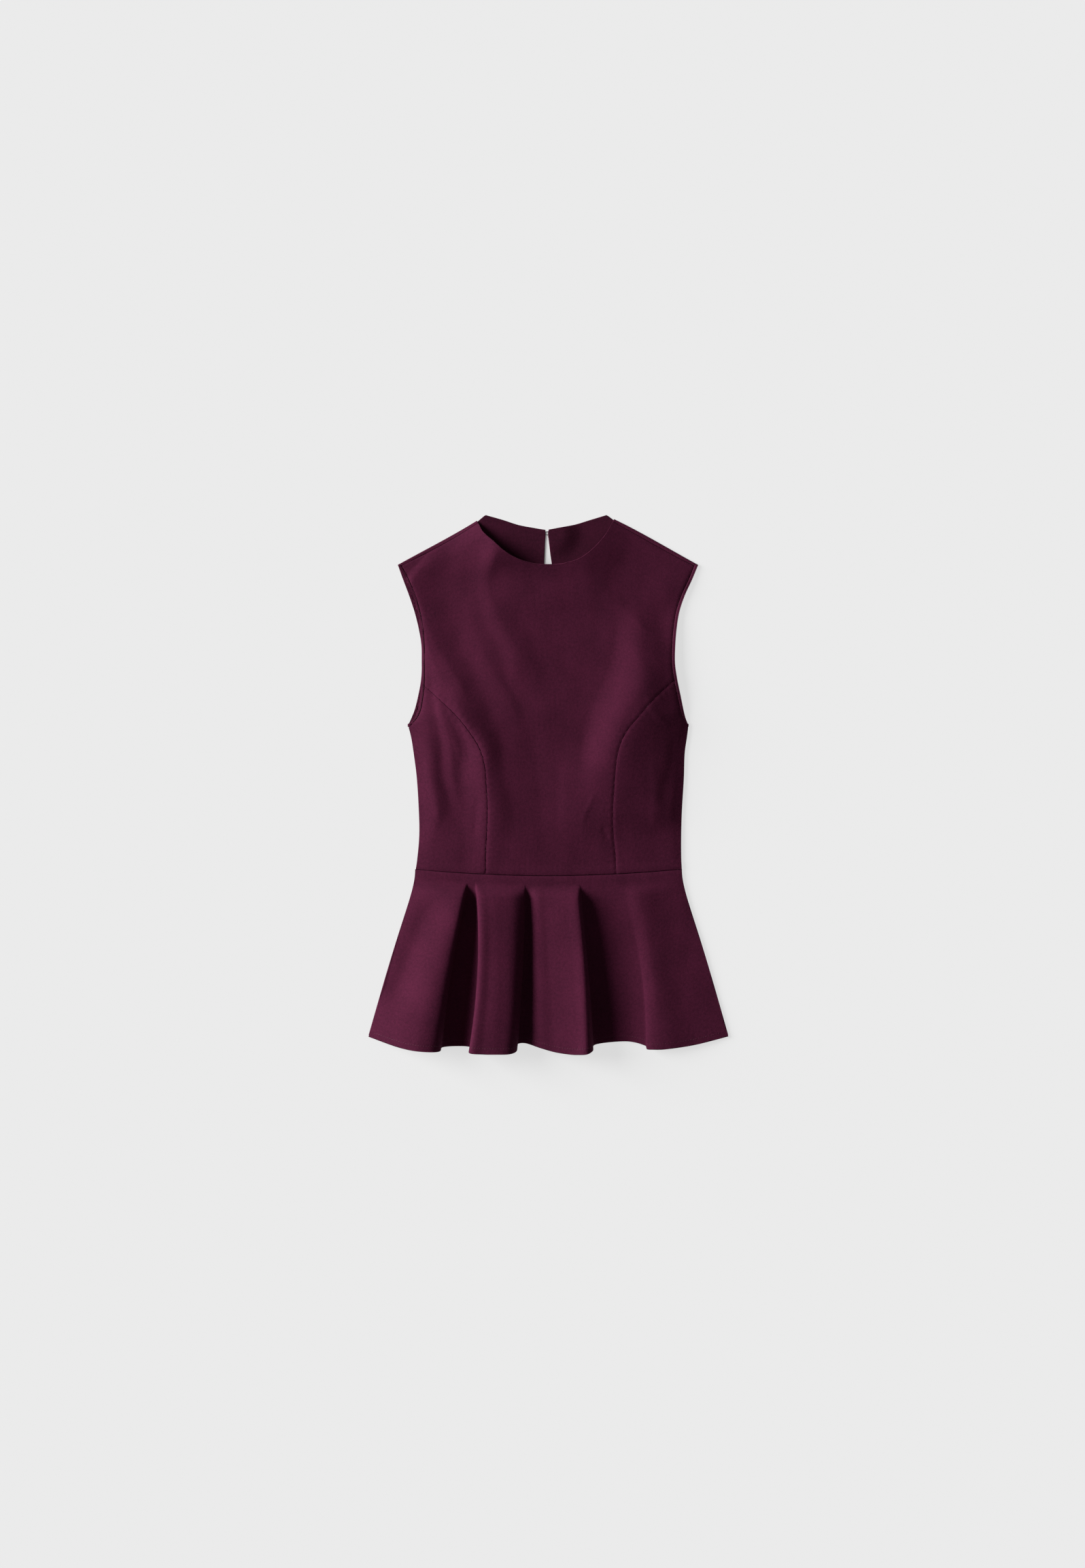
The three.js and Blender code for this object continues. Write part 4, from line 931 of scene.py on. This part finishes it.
def cloth_material(name, dark, light):
    """Matt crepe: warp and weft, a fine grain, mottling and soft clouds, laid out along the cloth."""
    material, nodes, links, shader = new_material(name)
    socket(shader, "Roughness", 0.85)
    socket(shader, "Specular IOR Level", 0.05)
    socket(shader, "Sheen Weight", 0.06)
    socket(shader, "Sheen Roughness", 0.45)
    socket(shader, "Sheen Tint", linear(214, 130, 168))
    place = nodes.new("ShaderNodeTexCoord").outputs["UV"]

    def texture(kind, **inputs):
        node = nodes.new(kind)
        links.new(place, node.inputs["Vector"])
        for key, value in inputs.items():
            node.inputs[key.replace("_", " ")].default_value = value
        return node

    def math_node(operation, a, b):
        node = nodes.new("ShaderNodeMath")
        node.operation = operation
        for k, value in enumerate((a, b)):
            if isinstance(value, (int, float)):
                node.inputs[k].default_value = value
            else:
                links.new(value, node.inputs[k])
        return node.outputs[0]

    warp = texture("ShaderNodeTexWave", Scale=330, Distortion=1.2, Detail=2, Detail_Scale=1.5)
    weft = texture("ShaderNodeTexWave", Scale=330, Distortion=1.2, Detail=2, Detail_Scale=1.5)
    weft.bands_direction = "Y"
    crepe = texture("ShaderNodeTexNoise", Scale=900, Detail=3, Roughness=0.6)
    mottle = texture("ShaderNodeTexNoise", Scale=300, Detail=4, Roughness=0.7)
    cloudy = texture("ShaderNodeTexNoise", Scale=22, Detail=3, Roughness=0.55)
    threads = math_node("MULTIPLY", warp.outputs["Fac"], weft.outputs["Fac"])
    grain = math_node("ADD", crepe.outputs["Fac"], math_node("MULTIPLY", mottle.outputs["Fac"], 1.3))
    height = math_node("ADD", math_node("MULTIPLY", threads, 0.5), grain)
    bump = nodes.new("ShaderNodeBump")
    socket(bump, "Strength", 0.5)
    socket(bump, "Distance", 0.4 * MM)
    links.new(height, bump.inputs["Height"])
    links.new(bump.outputs["Normal"], shader.inputs["Normal"])
    # The last sum spreads the tone over the range from 0 to 1
    clouds = math_node("MULTIPLY", cloudy.outputs["Fac"], 0.5)
    tone = math_node("ADD", math_node("MULTIPLY", grain, 0.7), clouds)
    tone = math_node("ADD", tone, math_node("MULTIPLY", threads, 0.16))
    tone = math_node("ADD", math_node("MULTIPLY", tone, 1.2), -0.833)
    colour_between(nodes, links, tone, dark, light)
    return material


def gloss_material(name, colour, roughness):
    """A plain colour with faint mottling."""
    material, nodes, links, shader = new_material(name)
    socket(shader, "Roughness", roughness)
    socket(shader, "Specular IOR Level", 0.5)
    noise = nodes.new("ShaderNodeTexNoise")
    socket(noise, "Scale", 600)
    links.new(nodes.new("ShaderNodeTexCoord").outputs["Object"], noise.inputs["Vector"])
    darker = tuple(c * 0.75 for c in colour[:3]) + (1,)
    colour_between(nodes, links, noise.outputs["Fac"], darker, colour)
    return material


PLUM = cloth_material("plum_crepe", linear(56, 19, 37), linear(91, 32.5, 58.5))
# The inside colour is partly the cloth's duller wrong side and partly painted shade for the shadowed inside
# of the back at the neck
PLUM_WRONG_SIDE_AND_SHADE = cloth_material("plum_wrong_side_and_painted_shade", linear(45, 15, 29), linear(76, 26, 48))
SEWING_THREAD = gloss_material("sewing_thread", linear(86, 30, 54), 0.6)
BUTTON_GLOSS = gloss_material("button_gloss", linear(60, 20, 40), 0.22)
LOOP_CORD = gloss_material("loop_cord", linear(34, 12, 22), 0.6)


# Pieces

def finish_piece(piece, material, node=None, inside=()):
    """Puts on the material, and on the faces that are inside the garment the darker wrong side of the cloth,
    which is partly painted shade.
    """
    piece.data.materials.append(material)
    if len(inside):
        piece.data.materials.append(PLUM_WRONG_SIDE_AND_SHADE)
        place = np.zeros(len(piece.data.polygons), np.int32)
        place[inside.start:inside.stop] = 1
        piece.data.polygons.foreach_set("material_index", place)
    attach(piece, "root")
    if node:
        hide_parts(node)
    return piece


def dress(piece, node, sewn_on=(), inside=()):
    """Finishes a sheet of cloth."""
    finish_piece(piece, PLUM, node, inside)


def sewing(piece):
    finish_piece(piece, SEWING_THREAD)
    return piece


dress(front_centre(), "front_centre")
for side, label in NAME.items():
    band = finish_piece(binding(side), PLUM, f"armhole_binding_{label}")
    thread = sewing(band_stitches(side))
    dress(front_side(side), f"front_side_{label}")
    half, inside = back(side)
    dress(half, f"back_{label}", [band, thread], inside)
dress(peplum_front(), "peplum_front", [sewing(hem_stitches())])
dress(peplum_back(), "peplum_back")
finish_piece(loop_cord(), LOOP_CORD, "neck_loop")

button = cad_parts["neck_button"]
for k in range(len(button.data.materials)):
    button.material_slots[k].material = BUTTON_GLOSS

# Floor, lights and camera

def flat_piece(name, low, high, z):
    """A flat rectangle between two corners, in metres."""
    mesh = bpy.data.meshes.new(name)
    corners = [(low[0], low[1], z), (high[0], low[1], z), (high[0], high[1], z), (low[0], high[1], z)]
    mesh.from_pydata(corners, [], [(0, 1, 2, 3)])
    piece = bpy.data.objects.new(name, mesh)
    bpy.context.scene.collection.objects.link(piece)
    return piece


floor_finish, _, _, floor_shader = new_material("pale_floor")
socket(floor_shader, "Base Color", (FLOOR_SHADE,) * 3 + (1,))
socket(floor_shader, "Roughness", 1.0)
socket(floor_shader, "Specular IOR Level", 0.0)
socket(floor_shader, "Emission Color", (1, 1, 1, 1))
socket(floor_shader, "Emission Strength", FLOOR_GLOW)
floor = flat_piece("floor", (-30, -30), (30, 30), 0)
floor.data.materials.append(floor_finish)

# Under the slit of the neck the floor lies in the top's own shade
shade_finish = floor_finish.copy()
shade_shader = shade_finish.node_tree.nodes["Principled BSDF"]
socket(shade_shader, "Base Color", (SLIT_SHADE,) * 3 + (1,))
socket(shade_shader, "Emission Strength", SLIT_GLOW)
low, high = (((x + SHIFT[0]) * MM, (y + SHIFT[1]) * MM) for x, y in SLIT_FLOOR)
shade = flat_piece("floor_in_shade", low, high, 0.02 * MM)
shade.data.materials.append(shade_finish)

key_light = bpy.data.lights.new("key", "SUN")
key_light.energy = KEY_ENERGY
key_light.angle = math.radians(KEY_SOFTNESS)
key = bpy.data.objects.new("key", key_light)
key.rotation_euler = [math.radians(turn) for turn in KEY_TURN]
bpy.context.scene.collection.objects.link(key)
world = bpy.data.worlds.new("studio")
world.use_nodes = True
background = world.node_tree.nodes["Background"]
socket(background, "Color", (1, 1, 1, 1))
socket(background, "Strength", WORLD_STRENGTH)
bpy.context.scene.world = world

camera_data = bpy.data.cameras.new("camera")
camera_data.sensor_width = SENSOR
camera_data.lens = SENSOR * CAMERA_HEIGHT / PICTURE_HEIGHT
camera_data.clip_end = 100
camera = bpy.data.objects.new("camera", camera_data)
centre_x, centre_y = PICTURE_CENTRE
camera.location = ((centre_x + SHIFT[0]) * MM, (centre_y + SHIFT[1]) * MM, CAMERA_HEIGHT)
bpy.context.scene.collection.objects.link(camera)
bpy.context.scene.camera = camera
bpy.context.scene.view_settings.view_transform = "Standard"
